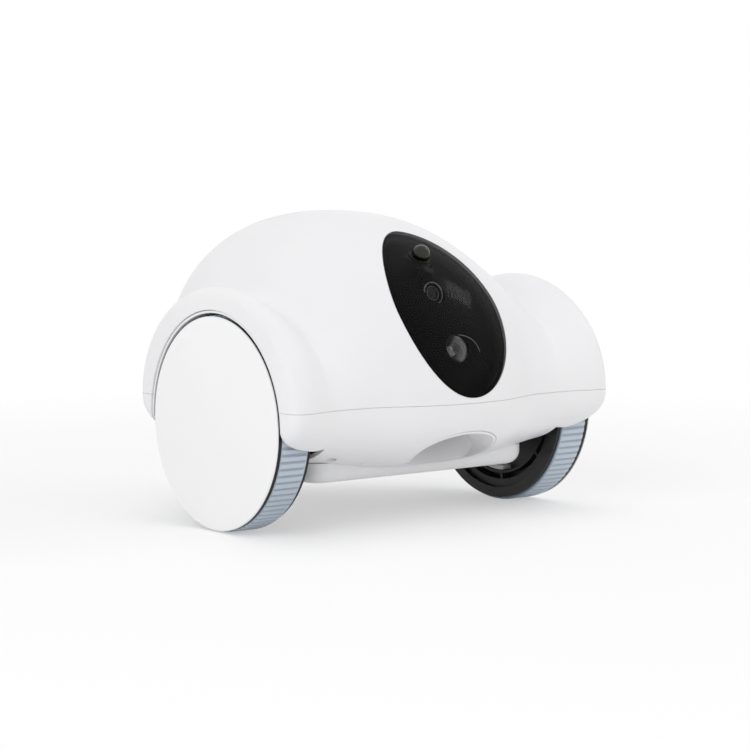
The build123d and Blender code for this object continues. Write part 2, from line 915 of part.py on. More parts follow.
ledge_inset = wall + seat_gap
ledge_body = middle_body(ledge_inset)
tub_back = middle_body(fascia_depth + fascia_wall)
tub_floor = middle_body(fascia_depth)
tub_outside = egg_prism(-fascia_side + fascia_side_wall, -visor_reach, visor_reach)
tub_inside = egg_prism(-fascia_side, -visor_reach, visor_reach)
with BuildPart() as fascia:
    add(ledge_body)
    add(middle_body(ledge_inset + fascia_flange_wall), mode=Mode.SUBTRACT)
    add(egg_prism(fascia_flange, -visor_reach, visor_reach), mode=Mode.INTERSECT)
    add((ledge_body & tub_outside) - tub_back)
    add(tub_inside - tub_floor, mode=Mode.SUBTRACT)
    ring_bore = lens_radius + lens_collar_step
    ring = bar_on(lens_plane, -lens_collar_low, lens_collar_top, lens_ring_radius, ring_bore)
    add(ring & middle_body(fascia_depth - 2))
    for x in (-1, 1):
        for y in (-1, 1):
            corner = camera_board_size / 2 - camera_post_inset
            spot = (x * corner, y * corner)
            post_low = seat_gap - barrel_length
            post = bar_on(lens_plane, post_low, visor_reach / 2, camera_post_radius, 0.0, *spot)
            add(post & tub_floor)
    collar_bore = mic_radius + seat_gap
    collar_top = -wall - mic_collar_low
    collar = bar_on(mic_plane, -fascia_depth - 1, collar_top, mic_radius + mic_collar_wall, collar_bore)
    add(collar & ledge_body)
    add(bar_on(lens_plane, -barrel_length, visor_reach / 2, lens_radius + skin_gap), mode=Mode.SUBTRACT)
    lamp_low = -lamp_depth - lamp_hole_margin
    add(bar_on(lamp_plane, lamp_low, visor_reach / 2, lamp_radius + skin_gap), mode=Mode.SUBTRACT)
    lap_top = seam_height + lap_height + seat_gap
    add(block(-beyond, beyond, -beyond, 0, bottom_height, lap_top), mode=Mode.SUBTRACT)
keep(fascia, "fascia")

# Camera: barrel, glass and board
section_normal = (0, -math.sin(tilt), -math.cos(tilt))
lens_section = Plane(origin=lens_plane.origin, x_dir=(1, 0, 0), z_dir=section_normal)
lens_axis = Axis(lens_plane.origin, lens_plane.z_dir)
with BuildPart() as camera_barrel:
    add(bar_on(lens_plane, -barrel_length, lens_proud, lens_radius, lens_radius - barrel_wall))
    seat_radius = lens_radius - barrel_wall + lens_seat_bite
    seat = bar_on(lens_plane, -barrel_length / 2, 0, seat_radius, lens_glass_radius - lens_seat_lip)
    add(seat)
keep(camera_barrel, "camera_barrel")

with BuildPart() as camera_lens:
    with BuildSketch(lens_section):
        with BuildLine():
            low = seat_gap
            rim = lens_radius - barrel_wall - seat_gap
            Line((0, low), (rim, low))
            Line((rim, low), (rim, low + lens_glass_wall / 2))
            sag = low + lens_glass_wall / 2 + dome_sag(rim, lens_glass_wall / 2)
            ThreePointArc((rim, low + lens_glass_wall / 2), (rim / 2, sag), (0, low + lens_glass_wall))
            Line((0, low + lens_glass_wall), (0, low))
        make_face()
    revolve(axis=lens_axis)
keep(camera_lens, "camera_lens")

with BuildPart() as camera_board:
    top = -barrel_length - seat_gap
    side_length = camera_board_size
    add(plate_on(lens_plane, top - board_wall, top, side_length, side_length, board_corner))
    add(plate_on(lens_plane, top, top + sensor_chip_wall, sensor_chip, sensor_chip, chip_corner))
keep(camera_board, "camera_board")

# Lamp: bright reflector cup, its lens and board
lamp_section = Plane(origin=lamp_plane.origin, x_dir=(1, 0, 0), z_dir=section_normal)
lamp_axis = Axis(lamp_plane.origin, lamp_plane.z_dir)
with BuildPart() as lamp_reflector:
    with BuildSketch(lamp_section):
        with BuildLine():
            outer = lamp_radius
            throat = lamp_lens_radius + skin_gap
            Polyline(
                (outer - lamp_wall, 0),
                (outer, 0),
                (outer, -lamp_wall),
                (throat + lamp_wall, -lamp_depth),
                (throat, -lamp_depth),
                close=True,
            )
        make_face()
    revolve(axis=lamp_axis)
keep(lamp_reflector, "lamp_reflector")

with BuildPart() as lamp_lens:
    with BuildSketch(lamp_section):
        with BuildLine():
            low = -lamp_depth - lamp_lens_foot
            high = low + lamp_lens_length - lamp_lens_radius
            Line((0, low), (lamp_lens_radius, low))
            Line((lamp_lens_radius, low), (lamp_lens_radius, high))
            RadiusArc((lamp_lens_radius, high), (0, high + lamp_lens_radius), -lamp_lens_radius)
            Line((0, high + lamp_lens_radius), (0, low))
        make_face()
    revolve(axis=lamp_axis)
keep(lamp_lens, "lamp_lens")

with BuildPart() as lamp_board:
    top = -lamp_depth - lamp_board_gap
    add(plate_on(lamp_plane, top - board_wall, top, lamp_board_size, lamp_board_size, board_corner))
keep(lamp_board, "lamp_board")

# Motion sensor dome with its sensor board, and the microphone
with BuildPart() as sensor_dome:
    section = Plane(
        origin=dome_plane.origin,
        x_dir=(1, 0, 0),
        z_dir=(0, -dome_plane.z_dir.Z, dome_plane.z_dir.Y),
    )
    with BuildSketch(section):
        with BuildLine():
            step = -visor_wall - dome_flange_gap
            base = step - dome_flange_wall
            shoulder = dome_height - dome_radius
            inner = dome_radius - dome_wall
            Line((inner, base), (dome_flange_radius, base))
            Line((dome_flange_radius, base), (dome_flange_radius, step))
            Line((dome_flange_radius, step), (dome_radius, step))
            Line((dome_radius, step), (dome_radius, shoulder))
            RadiusArc((dome_radius, shoulder), (0, shoulder + dome_radius), -dome_radius)
            Line((0, shoulder + dome_radius), (0, shoulder + inner))
            RadiusArc((0, shoulder + inner), (inner, shoulder), inner)
            Line((inner, shoulder), (inner, base))
        make_face()
    revolve(axis=Axis(dome_plane.origin, dome_plane.z_dir))
keep(sensor_dome, "sensor_dome")

with BuildPart() as sensor_board:
    dome_base = -visor_wall - dome_flange_gap - dome_flange_wall
    top = dome_base - dome_base_gap - sensor_can_height / 2
    side_length = sensor_board_size
    add(plate_on(dome_plane, top - board_wall, top, side_length, side_length, board_corner))
    add(bar_on(dome_plane, top, top + sensor_can_height, sensor_can_radius))
keep(sensor_board, "sensor_board")

with BuildPart() as microphone:
    mic_top = -wall - mic_gap
    add(bar_on(mic_plane, mic_top - mic_height, mic_top, mic_radius))
keep(microphone, "microphone")

# Treat lid, its hinge pin, the hopper, the turning rotor and the feeder motor
with BuildPart() as treat_lid:
    add(skin_top & lid_prism(0))
    add(inside_top, mode=Mode.SUBTRACT)
    half = lid_tab_half_width
    add(bar_x(-half, half, hinge_line_y, hinge_line_z, hinge_radius))
    bore = hinge_pin_radius + running_gap
    add(bar_x(-half, half, hinge_line_y, hinge_line_z, bore), mode=Mode.SUBTRACT)
keep(treat_lid, "treat_lid")

with BuildPart() as hinge_pin:
    add(bar_x(-pin_room, pin_room, hinge_line_y, hinge_line_z, hinge_pin_radius))
keep(hinge_pin, "hinge_pin")

hopper_at = (0, axle_y + hopper_y)
exit_at = (0, axle_y + hopper_y - pocket_circle)
floor_top = hopper_floor + hopper_floor_wall
with BuildPart() as treat_hopper:
    cup = bar_z(hopper_floor, dome_top, *hopper_at, hopper_radius)
    add(cup & half_body(True, hopper_inset))
    add(bar_z(floor_top, dome_top, *hopper_at, hopper_radius - inner_wall), mode=Mode.SUBTRACT)
    for side in (-1, 1):
        inner = side * (hopper_leg_x - hopper_leg_width)
        middle = side * (hopper_leg_x - hopper_leg_width / 2)
        outer = side * (hopper_leg_x + hopper_leg_width / 2)
        foot = side * (hopper_leg_x + 3 * hopper_leg_width)
        y0 = hopper_at[1] - hopper_leg_depth / 2
        y1 = hopper_at[1] + hopper_leg_depth / 2
        base = chassis_top + seat_gap
        add(block(min(inner, outer), max(inner, outer), y0, y1, hopper_floor, floor_top + 2))
        add(block(min(middle, outer), max(middle, outer), y0, y1, base, floor_top + 2))
        add(block(min(middle, foot), max(middle, foot), y0, y1, base, base + hopper_foot_wall))
        foot_at = (side * (hopper_leg_x + hopper_foot_screw), hopper_at[1])
        add(bar_z(base, base + hopper_foot_wall, *foot_at, post_hole), mode=Mode.SUBTRACT)
    add(bar_z(hopper_floor, floor_top, *exit_at, pocket_radius), mode=Mode.SUBTRACT)
    add(bar_z(hopper_floor, floor_top, *hopper_at, feeder_boss_radius + fit_gap), mode=Mode.SUBTRACT)
    add(bar_z(floor_top, dome_top, *hopper_at, hopper_radius - inner_wall), mode=Mode.SUBTRACT)
keep(treat_hopper, "treat_hopper")

with BuildPart() as treat_rotor:
    low = floor_top + rotor_lift
    add(bar_z(low, low + rotor_height, *hopper_at, rotor_radius))
    with BuildSketch(Plane.XY.offset(low)):
        with Locations(hopper_at):
            with PolarLocations(pocket_circle, rotor_pockets, start_angle=-90):
                Circle(pocket_radius)
    extrude(amount=rotor_height, mode=Mode.SUBTRACT)
    with BuildSketch(Plane.XY.offset(low + rotor_height)):
        with Locations(hopper_at):
            Circle(pocket_circle - pocket_radius - 1)
    extrude(amount=rotor_cone, taper=rotor_cone_lean)
    shaft_low = floor_top - rotor_shaft_length
    add(bar_z(shaft_low, low + 1, *hopper_at, rotor_shaft_radius))
keep(treat_rotor, "treat_rotor")

with BuildPart() as feeder_motor:
    top = hopper_floor - seat_gap
    add(bar_z(top - feeder_motor_length, top, *hopper_at, feeder_motor_radius))
    add(bar_z(top, floor_top - seat_gap, *hopper_at, feeder_boss_radius))
    bore = rotor_shaft_radius + fit_gap
    add(bar_z(floor_top - rotor_shaft_length - 1, floor_top, *hopper_at, bore), mode=Mode.SUBTRACT)
keep(feeder_motor, "feeder_motor")


# Treat chute, from the neck under the hopper to the outlet rim behind the nose
mouth_room = half_body(False, skin_gap)
with BuildPart() as treat_chute:
    add(chute_body(chute_wall, -outlet_front - 1, chute_rear_y))
    add(bar_z(chute_rear_z, hopper_floor - seat_gap, *exit_at, pocket_radius + chute_wall))
    add(chute_body(0, -outlet_front - 2, chute_rear_y - chute_wall), mode=Mode.SUBTRACT)
    add(bar_z(chute_rear_z, hopper_floor, *exit_at, pocket_radius), mode=Mode.SUBTRACT)
    wide = outlet_half_width + 2 * cut_margin
    mouth_low = bottom_height - cut_margin
    mouth = block(-wide, wide, -beyond, axle_y + outlet_waist_y, mouth_low, seam_height)
    add(mouth - mouth_room, mode=Mode.SUBTRACT)
keep(treat_chute, "treat_chute")

# Belly cover, chassis plate and battery
def tray(margin, low, high, radius):
    """Block of the belly cover's outline with round lower edges."""
    with BuildPart() as solid:
        add(belly_prism(margin, low, high))
        fillet(solid.faces().sort_by(Axis.Z)[0].edges(), radius)
    return solid.part


with BuildPart() as belly_cover:
    add(tray(0, belly_low, belly_top, belly_fillet))
    room = tray(-belly_wall, belly_low + belly_wall, belly_top + 1, belly_fillet - belly_wall)
    add(room, mode=Mode.SUBTRACT)
    for x, y in belly_screws_at:
        add(bar_z(belly_low + belly_wall / 2, chassis_low - seat_gap, x, y, post_radius))
        add(bar_z(belly_low - 1, chassis_low, x, y, small_screw_room), mode=Mode.SUBTRACT)
        well = gearbox_screw_head + 2 * skin_gap
        add(bar_z(belly_low - 1, belly_screw_seat, x, y, well), mode=Mode.SUBTRACT)
keep(belly_cover, "belly_cover")

with BuildPart() as chassis_plate:
    with BuildSketch(Plane.XY.offset(chassis_low)):
        with Locations((0, axle_y + (chassis_middle - chassis_front) / 2)):
            RectangleRounded(2 * chassis_half_width, chassis_middle + chassis_front, chassis_corner)
        with Locations((0, axle_y + chassis_rear / 2)):
            RectangleRounded(2 * chassis_rear_half_width, chassis_rear, chassis_corner)
        for sign in (-1, 1):
            with Locations((sign * post_front_x, axle_y - chassis_tab_front / 2)):
                RectangleRounded(chassis_tab_width, chassis_tab_front, chassis_tab_width / 2 - 0.5)
    extrude(amount=chassis_wall)
    for x, y in belly_screws_at:
        boss_top = chassis_top + chassis_boss_height
        add(bar_z(chassis_top, boss_top, x, y, post_radius))
        add(bar_z(chassis_low, boss_top, x, y, small_screw_hole), mode=Mode.SUBTRACT)
    for x, y in posts_at:
        add(bar_z(chassis_low, chassis_top, x, y, small_screw_room), mode=Mode.SUBTRACT)
    for x in (-standoff_x, standoff_x):
        for y in (main_board_hole_front, main_board_hole_rear):
            at = (x, axle_y + y)
            add(bar_z(chassis_top, main_board_z - seat_gap, *at, standoff_radius))
            add(bar_z(chassis_low, main_board_z, *at, small_screw_hole), mode=Mode.SUBTRACT)
    for side in (-1, 1):
        foot_at = (side * (hopper_leg_x + hopper_foot_screw), hopper_at[1])
        add(bar_z(chassis_low, chassis_top, *foot_at, post_hole), mode=Mode.SUBTRACT)
keep(chassis_plate, "chassis_plate")

with BuildPart() as battery_pack:
    with BuildSketch(Plane.XY.offset(belly_low + belly_wall + skin_gap)):
        with Locations((0, axle_y + battery_y)):
            Rectangle(battery_length, battery_width)
    extrude(amount=battery_height)
    fillet(battery_pack.edges().filter_by(Axis.Z), battery_corner)
keep(battery_pack, "battery_pack")

# Screws that are driven along Z
small_screw = (gearbox_screw_radius, gearbox_screw_head, small_screw_head_height)


def screw_z(low, high, x, y, radius, head, head_height, head_up):
    """Pan head screw along Z with its head at one end."""
    with BuildPart() as screw:
        add(bar_z(low, high, x, y, radius))
        if head_up:
            add(bar_z(high, high + head_height, x, y, head))
            start = high + head_height - socket_depth
        else:
            add(bar_z(low - head_height, low, x, y, head))
            start = low - head_height
        end = start + socket_depth
        socket = plate_on(Plane.XY, start, end, socket_length, socket_width, socket_corner, x, y)
        add(socket, mode=Mode.SUBTRACT)
    return screw.part


with BuildPart() as shell_screws:
    for x, y in shell_screws_at:
        ends = (shell_screw_seat, shell_screw_tip)
        add(screw_z(*ends, x, y, screw_radius, screw_head_radius, screw_head_height, False))
keep(shell_screws, "shell_screws")

with BuildPart() as belly_screws:
    for x, y in belly_screws_at:
        high = chassis_top + chassis_boss_height - 1
        add(screw_z(belly_screw_seat, high, x, y, *small_screw, False))
keep(belly_screws, "belly_screws")

with BuildPart() as board_screws:
    for x, y in posts_at:
        add(screw_z(chassis_top - post_screw_length, chassis_top, x, y, *small_screw, True))
    for x in (-standoff_x, standoff_x):
        for y in (main_board_hole_front, main_board_hole_rear):
            top = main_board_z + board_wall
            add(screw_z(top - board_screw_length, top, x, axle_y + y, *small_screw, True))
    for side in (-1, 1):
        foot_at = (side * (hopper_leg_x + hopper_foot_screw), hopper_at[1])
        top = chassis_top + seat_gap + hopper_foot_wall
        sizes = (screw_radius, screw_head_radius, hopper_screw_head_height)
        add(screw_z(chassis_low - 1, top, *foot_at, *sizes, True))
keep(board_screws, "board_screws")

# Main board, port, switch, light pipe, button and speaker
with BuildPart() as main_board:
    length = main_board_rear - main_board_front
    with BuildSketch(Plane.XY.offset(main_board_z)):
        with Locations((0, axle_y + main_board_front + length / 2)):
            RectangleRounded(2 * main_board_half_width, length, board_corner)
        for x in (-standoff_x, standoff_x):
            for y in (main_board_hole_front, main_board_hole_rear):
                with Locations((x, axle_y + y)):
                    Circle(small_screw_room, mode=Mode.SUBTRACT)
    extrude(amount=board_wall)
    for x, y, width, depth, height in board_chips:
        chip_top = main_board_z + board_wall + height
        add(plate_on(Plane.XY, main_board_z, chip_top, width, depth, chip_corner, x, axle_y + y))
keep(main_board, "main_board")

with BuildPart() as charge_port:
    with BuildSketch(Plane.XZ.offset(-port_rear)):
        with Locations((0, port_z)):
            half_width = port_half_width + port_wall
            half_height = port_half_height + port_wall
            RectangleRounded(2 * half_width, 2 * half_height, half_height - slot_flat)
    extrude(amount=port_depth)
    with BuildSketch(Plane.XZ.offset(-port_rear)):
        with Locations((0, port_z)):
            RectangleRounded(2 * port_half_width, 2 * port_half_height, port_half_height - slot_flat)
    extrude(amount=port_depth - port_floor, mode=Mode.SUBTRACT)
    with BuildSketch(Plane.XZ.offset(-port_rear + port_tongue_inset)):
        with Locations((0, port_z)):
            Rectangle(2 * (port_half_width - port_tongue_margin), port_tongue)
    extrude(amount=port_depth - port_floor)
keep(charge_port, "charge_port")

board_top = main_board_z + board_wall
flange_face = button_skin - button_seat
plunger_end = axle_y + main_board_rear - switch_inset
with BuildPart() as power_switch:
    y1 = plunger_end - switch_plunger
    x0 = button_x - switch_half_width
    x1 = button_x + switch_half_width
    add(block(x0, x1, y1 - switch_depth, y1, board_top, board_top + switch_height))
    add(bar_y(y1, plunger_end, button_x, button_z, switch_plunger_radius))
keep(power_switch, "power_switch")

with BuildPart() as power_button:
    flange_end = flange_face - button_flange_wall
    add(bar_y(flange_end, button_skin + button_proud, button_x, button_z, button_radius))
    fillet(power_button.edges().sort_by(Axis.Y)[-1], button_edge)
    add(bar_y(flange_end, flange_face, button_x, button_z, button_radius + button_flange))
    stem_end = plunger_end + button_travel + seat_gap
    add(bar_y(stem_end, flange_face, button_x, button_z, button_stem_radius))
keep(power_button, "power_button")

with BuildPart() as status_light:
    foot = axle_y + main_board_rear - status_block_inset
    add(bar_y(axle_y + main_board_rear - status_lap, status_skin, status_x, button_z, status_radius))
    x0 = status_x - status_block_half
    x1 = status_x + status_block_half
    y0 = foot - status_block_depth
    add(block(x0, x1, y0, foot, board_top, board_top + status_block_height))
keep(status_light, "status_light")

with BuildPart() as speaker:
    y0 = axle_y + speaker_y
    y1 = y0 + speaker_height - speaker_rim
    add(bar_y(y0, y1, speaker_x, speaker_z, speaker_magnet_radius))
    add(bar_y(y1, y0 + speaker_height, speaker_x, speaker_z, speaker_radius))
keep(speaker, "speaker")


def gear(teeth, start, end, y, z, turn):
    """Spur gear blank with involute teeth, along X."""
    pitch_radius = gear_module * teeth / 2
    base_radius = pitch_radius * math.cos(math.radians(pressure_angle))
    tip_radius = pitch_radius + gear_module
    root_radius = pitch_radius - dedendum * gear_module
    half_tooth = math.pi / 2 / teeth - gear_backlash / 4 / pitch_radius
    pitch_roll = math.tan(math.radians(pressure_angle)) - math.radians(pressure_angle)
    points = []
    for tooth in range(teeth):
        middle = math.radians(turn) + 2 * math.pi * tooth / teeth
        flank = []
        for step in range(flank_steps + 1):
            radius = max(root_radius, base_radius)
            radius += (tip_radius - radius) * step / flank_steps
            angle = math.acos(min(1.0, base_radius / radius))
            flank.append((radius, half_tooth + pitch_roll - math.tan(angle) + angle))
        if base_radius > root_radius:
            flank.insert(0, (root_radius, flank[0][1]))
        points += [(r * math.cos(middle - a), r * math.sin(middle - a)) for r, a in flank]
        points += [(r * math.cos(middle + a), r * math.sin(middle + a)) for r, a in reversed(flank)]
    with BuildPart() as blank:
        with BuildSketch(Plane.YZ.offset(start)):
            with BuildLine():
                Polyline(*[(y + u, z + v) for u, v in points], close=True)
            make_face()
        extrude(amount=end - start)
    return blank.part


def d_bar(start, end, radius, flat):
    """Bar along the wheel axle with one flat side."""
    with BuildPart() as bar:
        with BuildSketch(Plane.YZ.offset(start)):
            with Locations((axle_y, axle_height)):
                Circle(radius)
            with Locations((axle_y, axle_height - radius + flat / 2)):
                Rectangle(2 * radius, flat + radius, mode=Mode.INTERSECT)
        extrude(amount=end - start)
    return bar.part


def arc_blocks(start, end, outer, inner, half_angle):
    """Curved blocks about the wheel axle where the hub cap's snap tabs are."""
    blocks = []
    for tab in range(tab_count):
        middle = math.radians(tab_turn + 360 * tab / tab_count)
        corners = []
        for radius, share in ((inner, -1), (outer, -1), (outer, 0), (outer, 1), (inner, 1), (inner, 0)):
            angle = middle + share * math.radians(half_angle)
            corners.append((axle_y + radius * math.cos(angle), axle_height + radius * math.sin(angle)))
        with BuildPart() as piece:
            with BuildSketch(Plane.YZ.offset(start)):
                with BuildLine():
                    Line(corners[0], corners[1])
                    ThreePointArc(corners[1], corners[2], corners[3])
                    Line(corners[3], corners[4])
                    ThreePointArc(corners[4], corners[5], corners[0])
                make_face()
            extrude(amount=end - start)
        blocks.append(piece.part)
    return blocks


# Drive train, wheel wells and wheels, the same on both sides
centre_distance = gear_module * (gear_teeth + pinion_teeth) / 2
motor_y = axle_y + centre_distance
gear_outer_x = gear_inner_x + gear_width
case_middle = axle_y + (gearbox_rear - gearbox_front) / 2
case_depth = gearbox_rear + gearbox_front
case_height = gearbox_top - gearbox_bottom
case_centre_z = (gearbox_top + gearbox_bottom) / 2
case_screws_at = [
    (axle_y + y, z)
    for y in (-gearbox_front + gearbox_screw_inset, gearbox_rear - gearbox_screw_inset)
    for z in (gearbox_bottom + gearbox_screw_inset, gearbox_top - gearbox_screw_inset)
]
bush_bore_radius = axle_radius + running_gap
cover_outer_x = gearbox_outer_x + gearbox_cover_wall
well_room = half_body(False, well_inset)
well_skin = half_body(False, well_edge_inset)


def case_plate(start, end, less):
    """Rounded rectangle of the gearbox along X, drawn in by less."""
    with BuildPart() as plate:
        with BuildSketch(Plane.YZ.offset(start)):
            with Locations((case_middle, case_centre_z)):
                RectangleRounded(case_depth - 2 * less, case_height - 2 * less, gearbox_corner - less)
        extrude(amount=end - start)
    return plate.part


bushes = []
case_screws = []
for name, side in sides:
    with BuildPart() as gearbox_case:
        add(case_plate(side * gearbox_inner_x, side * gearbox_outer_x, 0))
        room_start = side * (gearbox_inner_x + gearbox_wall)
        add(case_plate(room_start, side * gearbox_outer_x, gearbox_wall), mode=Mode.SUBTRACT)
        boss_end = side * (gearbox_inner_x + bush_inner_length)
        add(bar_x(side * gearbox_inner_x, boss_end, axle_y, axle_height, bush_radius + bush_boss_wall))
        for y, z in case_screws_at:
            add(bar_x(side * gearbox_inner_x, side * gearbox_outer_x, y, z, gearbox_boss))
            hole_start = side * (gearbox_inner_x + gearbox_screw_floor)
            hole = bar_x(hole_start, side * gearbox_outer_x, y, z, small_screw_hole)
            add(hole, mode=Mode.SUBTRACT)
        bush_seat = bush_radius + fit_gap
        add(bar_x(side * gearbox_inner_x, boss_end, axle_y, axle_height, bush_seat), mode=Mode.SUBTRACT)
        boss_hole = bar_x(
            side * gearbox_inner_x,
            side * (gearbox_inner_x + gearbox_wall),
            motor_y,
            axle_height,
            motor_boss_radius + fit_gap,
        )
        add(boss_hole, mode=Mode.SUBTRACT)
    keep(gearbox_case, "gearbox_case_" + name)

    with BuildPart() as gearbox_cover:
        start = side * (gearbox_outer_x + seat_gap)
        end = side * cover_outer_x
        add(case_plate(start, end, 0))
        boss_start = side * (gear_outer_x + shaft_boss_gap)
        add(bar_x(boss_start, start, motor_y, axle_height, motor_shaft_radius + shaft_boss_wall))
        add(bar_x(start, end, axle_y, axle_height, bush_radius + fit_gap), mode=Mode.SUBTRACT)
        shaft_bore = motor_shaft_radius + running_gap
        add(bar_x(boss_start - side, end, motor_y, axle_height, shaft_bore), mode=Mode.SUBTRACT)
        for y, z in case_screws_at:
            add(bar_x(start, end, y, z, small_screw_hole), mode=Mode.SUBTRACT)
    keep(gearbox_cover, "gearbox_cover_" + name)

    for y, z in case_screws_at:
        shank = side * (cover_outer_x - gearbox_screw_length)
        case_screws.append(bar_x(shank, side * cover_outer_x, y, z, gearbox_screw_radius))
        head_end = side * (cover_outer_x + gearbox_screw_head_height)
        case_screws.append(bar_x(side * cover_outer_x, head_end, y, z, gearbox_screw_head))

    inner_start = side * gearbox_inner_x
    flange_start = side * (gearbox_inner_x - bush_flange)
    inner_end = side * (gearbox_inner_x + bush_inner_length)
    outer_start = side * (gearbox_outer_x - seat_gap)
    outer_flange = side * (gearbox_outer_x - seat_gap - bush_flange)
    outer_end = side * (gearbox_outer_x + bush_outer_reach)
    inner_ends = (flange_start, inner_start, inner_end)
    outer_ends = (outer_flange, outer_start, outer_end)
    for first, middle, last in (inner_ends, outer_ends):
        bush = bar_x(middle, last, axle_y, axle_height, bush_radius, bush_bore_radius)
        bush += bar_x(first, middle, axle_y, axle_height, bush_flange_radius, bush_bore_radius)
        bushes.append(bush)

    with BuildPart() as drive_motor:
        face = side * (gearbox_inner_x - seat_gap)
        back = side * (gearbox_inner_x - seat_gap - motor_length)
        add(bar_x(back, face, motor_y, axle_height, motor_radius))
        fillet(drive_motor.edges(), motor_edge)
        add(bar_x(face, face + side * motor_boss_length, motor_y, axle_height, motor_boss_radius))
        bore_start = face - side * motor_shaft_depth
        bore_end = face + side * motor_boss_length
        bore = motor_shaft_radius + fit_gap
        add(bar_x(bore_start, bore_end, motor_y, axle_height, bore), mode=Mode.SUBTRACT)
    keep(drive_motor, "drive_motor_" + name)

    with BuildPart() as motor_pinion:
        start = side * (gear_inner_x - pinion_extra)
        end = side * (gear_outer_x + pinion_extra)
        add(gear(pinion_teeth, start, end, motor_y, axle_height, 180 / pinion_teeth))
        shaft_start = side * (gearbox_inner_x - motor_shaft_depth + 1)
        shaft_end = side * (cover_outer_x - shaft_end_gap)
        add(bar_x(shaft_start, shaft_end, motor_y, axle_height, motor_shaft_radius))
    keep(motor_pinion, "motor_pinion_" + name)

    with BuildPart() as drive_axle:
        add(bar_x(side * axle_inner_x, side * axle_outer_x, axle_y, axle_height, axle_radius))
        for start, end in ((gear_inner_x - gear_hub_length, gear_outer_x), (rim_inner_x, axle_outer_x)):
            wide = axle_radius + 1
            round_part = bar_x(side * start, side * end, axle_y, axle_height, wide)
            flat_part = d_bar(side * (start - 1), side * (end + 1), wide, axle_flat)
            add(round_part - flat_part, mode=Mode.SUBTRACT)
        bore_start = side * (axle_outer_x - hub_screw_length)
        add(bar_x(bore_start, side * axle_outer_x, axle_y, axle_height, screw_bore), mode=Mode.SUBTRACT)
    keep(drive_axle, "drive_axle_" + name)

    with BuildPart() as drive_gear:
        start = side * gear_inner_x
        end = side * gear_outer_x
        add(gear(gear_teeth, start, end, axle_y, axle_height, 0))
        web_radius = gear_module * (gear_teeth / 2 - dedendum) - gear_rim_wall
        groove = bar_x(start + side * gear_web, end, axle_y, axle_height, web_radius, gear_hub_radius)
        add(groove, mode=Mode.SUBTRACT)
        add(bar_x(start - side * gear_hub_length, start, axle_y, axle_height, gear_hub_radius))
        hub_start = start - side * (gear_hub_length + 1)
        bore = d_bar(hub_start, end + side, axle_radius + fit_gap, axle_flat + fit_gap)
        add(bore, mode=Mode.SUBTRACT)
    keep(drive_gear, "drive_gear_" + name)

    with BuildPart() as wheel_well:
        profile = (
            (well_floor_x, bush_radius + well_bush_gap),
            (well_floor_x, well_radius),
            (well_outer_x, well_radius),
            (well_outer_x, well_radius - well_wall),
            (well_floor_x + well_wall, well_radius - well_wall),
            (well_floor_x + well_wall, bush_radius + well_bush_gap),
        )
        cup = turned(profile, side)
        reach = well_radius + 2
        front = axle_y - reach
        rear = axle_y + reach
        top = axle_height + reach
        near = sorted((side * (well_floor_x - 1), side * arch_start))
        far = sorted((side * arch_start, side * body_half_width))
        whole = sorted((side * well_cut_inner, side * (body_half_width + cut_margin)))
        add(cup & block(*whole, front, rear, seam_height, top))
        add(cup & block(*near, front, rear, 0, seam_height) & well_room)
        add(cup & block(*far, front, rear, 0, seam_height) & well_skin)
    keep(wheel_well, "wheel_well_" + name)

    web_outer_x = rim_web_x + rim_web
    rim_face_x = cap_face_x - cap_edge - seat_gap
    with BuildPart() as wheel_rim:
        profile = (
            (rim_inner_x, rim_mouth_radius),
            (rim_inner_x, rim_inner_flange_radius),
            (rim_inner_x + rim_flange, rim_inner_flange_radius),
            (rim_inner_x + rim_flange, tyre_seat_radius),
            (tyre_outer_x + seat_gap, tyre_seat_radius),
            (tyre_outer_x + seat_gap, rim_outer_flange_radius),
            (rim_face_x, rim_outer_flange_radius),
            (rim_face_x, tyre_seat_radius - rim_shell),
            (web_outer_x, tyre_seat_radius - rim_shell),
            (web_outer_x, hub_boss_radius),
            (hub_boss_outer_x, hub_boss_radius),
            (hub_boss_outer_x, axle_radius - 1),
            (rim_inner_x + rim_hub_step, axle_radius - 1),
            (rim_inner_x + rim_hub_step, hub_boss_radius),
            (rim_web_x, hub_boss_radius),
            (rim_web_x, rim_bore_radius),
            (rim_inner_x + rim_flange, rim_bore_radius),
            (rim_inner_x + rim_flange, rim_mouth_radius),
        )
        add(turned(profile, side))
        guide_inner = tab_radius + slot_gap
        guide_outer = guide_inner + guide_wall
        guide_start = side * (tab_end_x - guide_drop)
        add(bar_x(guide_start, side * rim_web_x, axle_y, axle_height, guide_outer, guide_inner))
        with BuildSketch(Plane.YZ.offset(guide_start)):
            with Locations((axle_y, axle_height)):
                middle = (hub_boss_radius + rim_bore_radius) / 2
                with PolarLocations(middle, rim_rib_count, start_angle=rim_rib_turn):
                    Rectangle(rim_bore_radius - hub_boss_radius + 1, rim_rib)
        ribs = extrude(amount=side * rim_web_x - guide_start, mode=Mode.PRIVATE)
        ring_start = guide_start - side
        ring_end = side * (rim_web_x + 1)
        ring_wide = guide_inner + guide_room
        ring_room = bar_x(ring_start, ring_end, axle_y, axle_height, ring_wide, rim_rib_inner)
        add(ribs - ring_room)
        slot_inner = tab_radius - tab_wall - slot_gap
        slot_ends = (side * rim_web_x, side * web_outer_x)
        for slot in arc_blocks(*slot_ends, tab_radius + slot_gap, slot_inner, tab_half_angle + slot_side):
            add(slot, mode=Mode.SUBTRACT)
        bore = bar_x(side * axle_outer_x, side * hub_boss_outer_x, axle_y, axle_height, screw_bore)
        add(bore, mode=Mode.SUBTRACT)
        socket_ends = (side * (rim_inner_x - 1), side * axle_outer_x)
        bore = d_bar(*socket_ends, axle_radius + fit_gap, axle_flat + fit_gap)
        add(bore, mode=Mode.SUBTRACT)
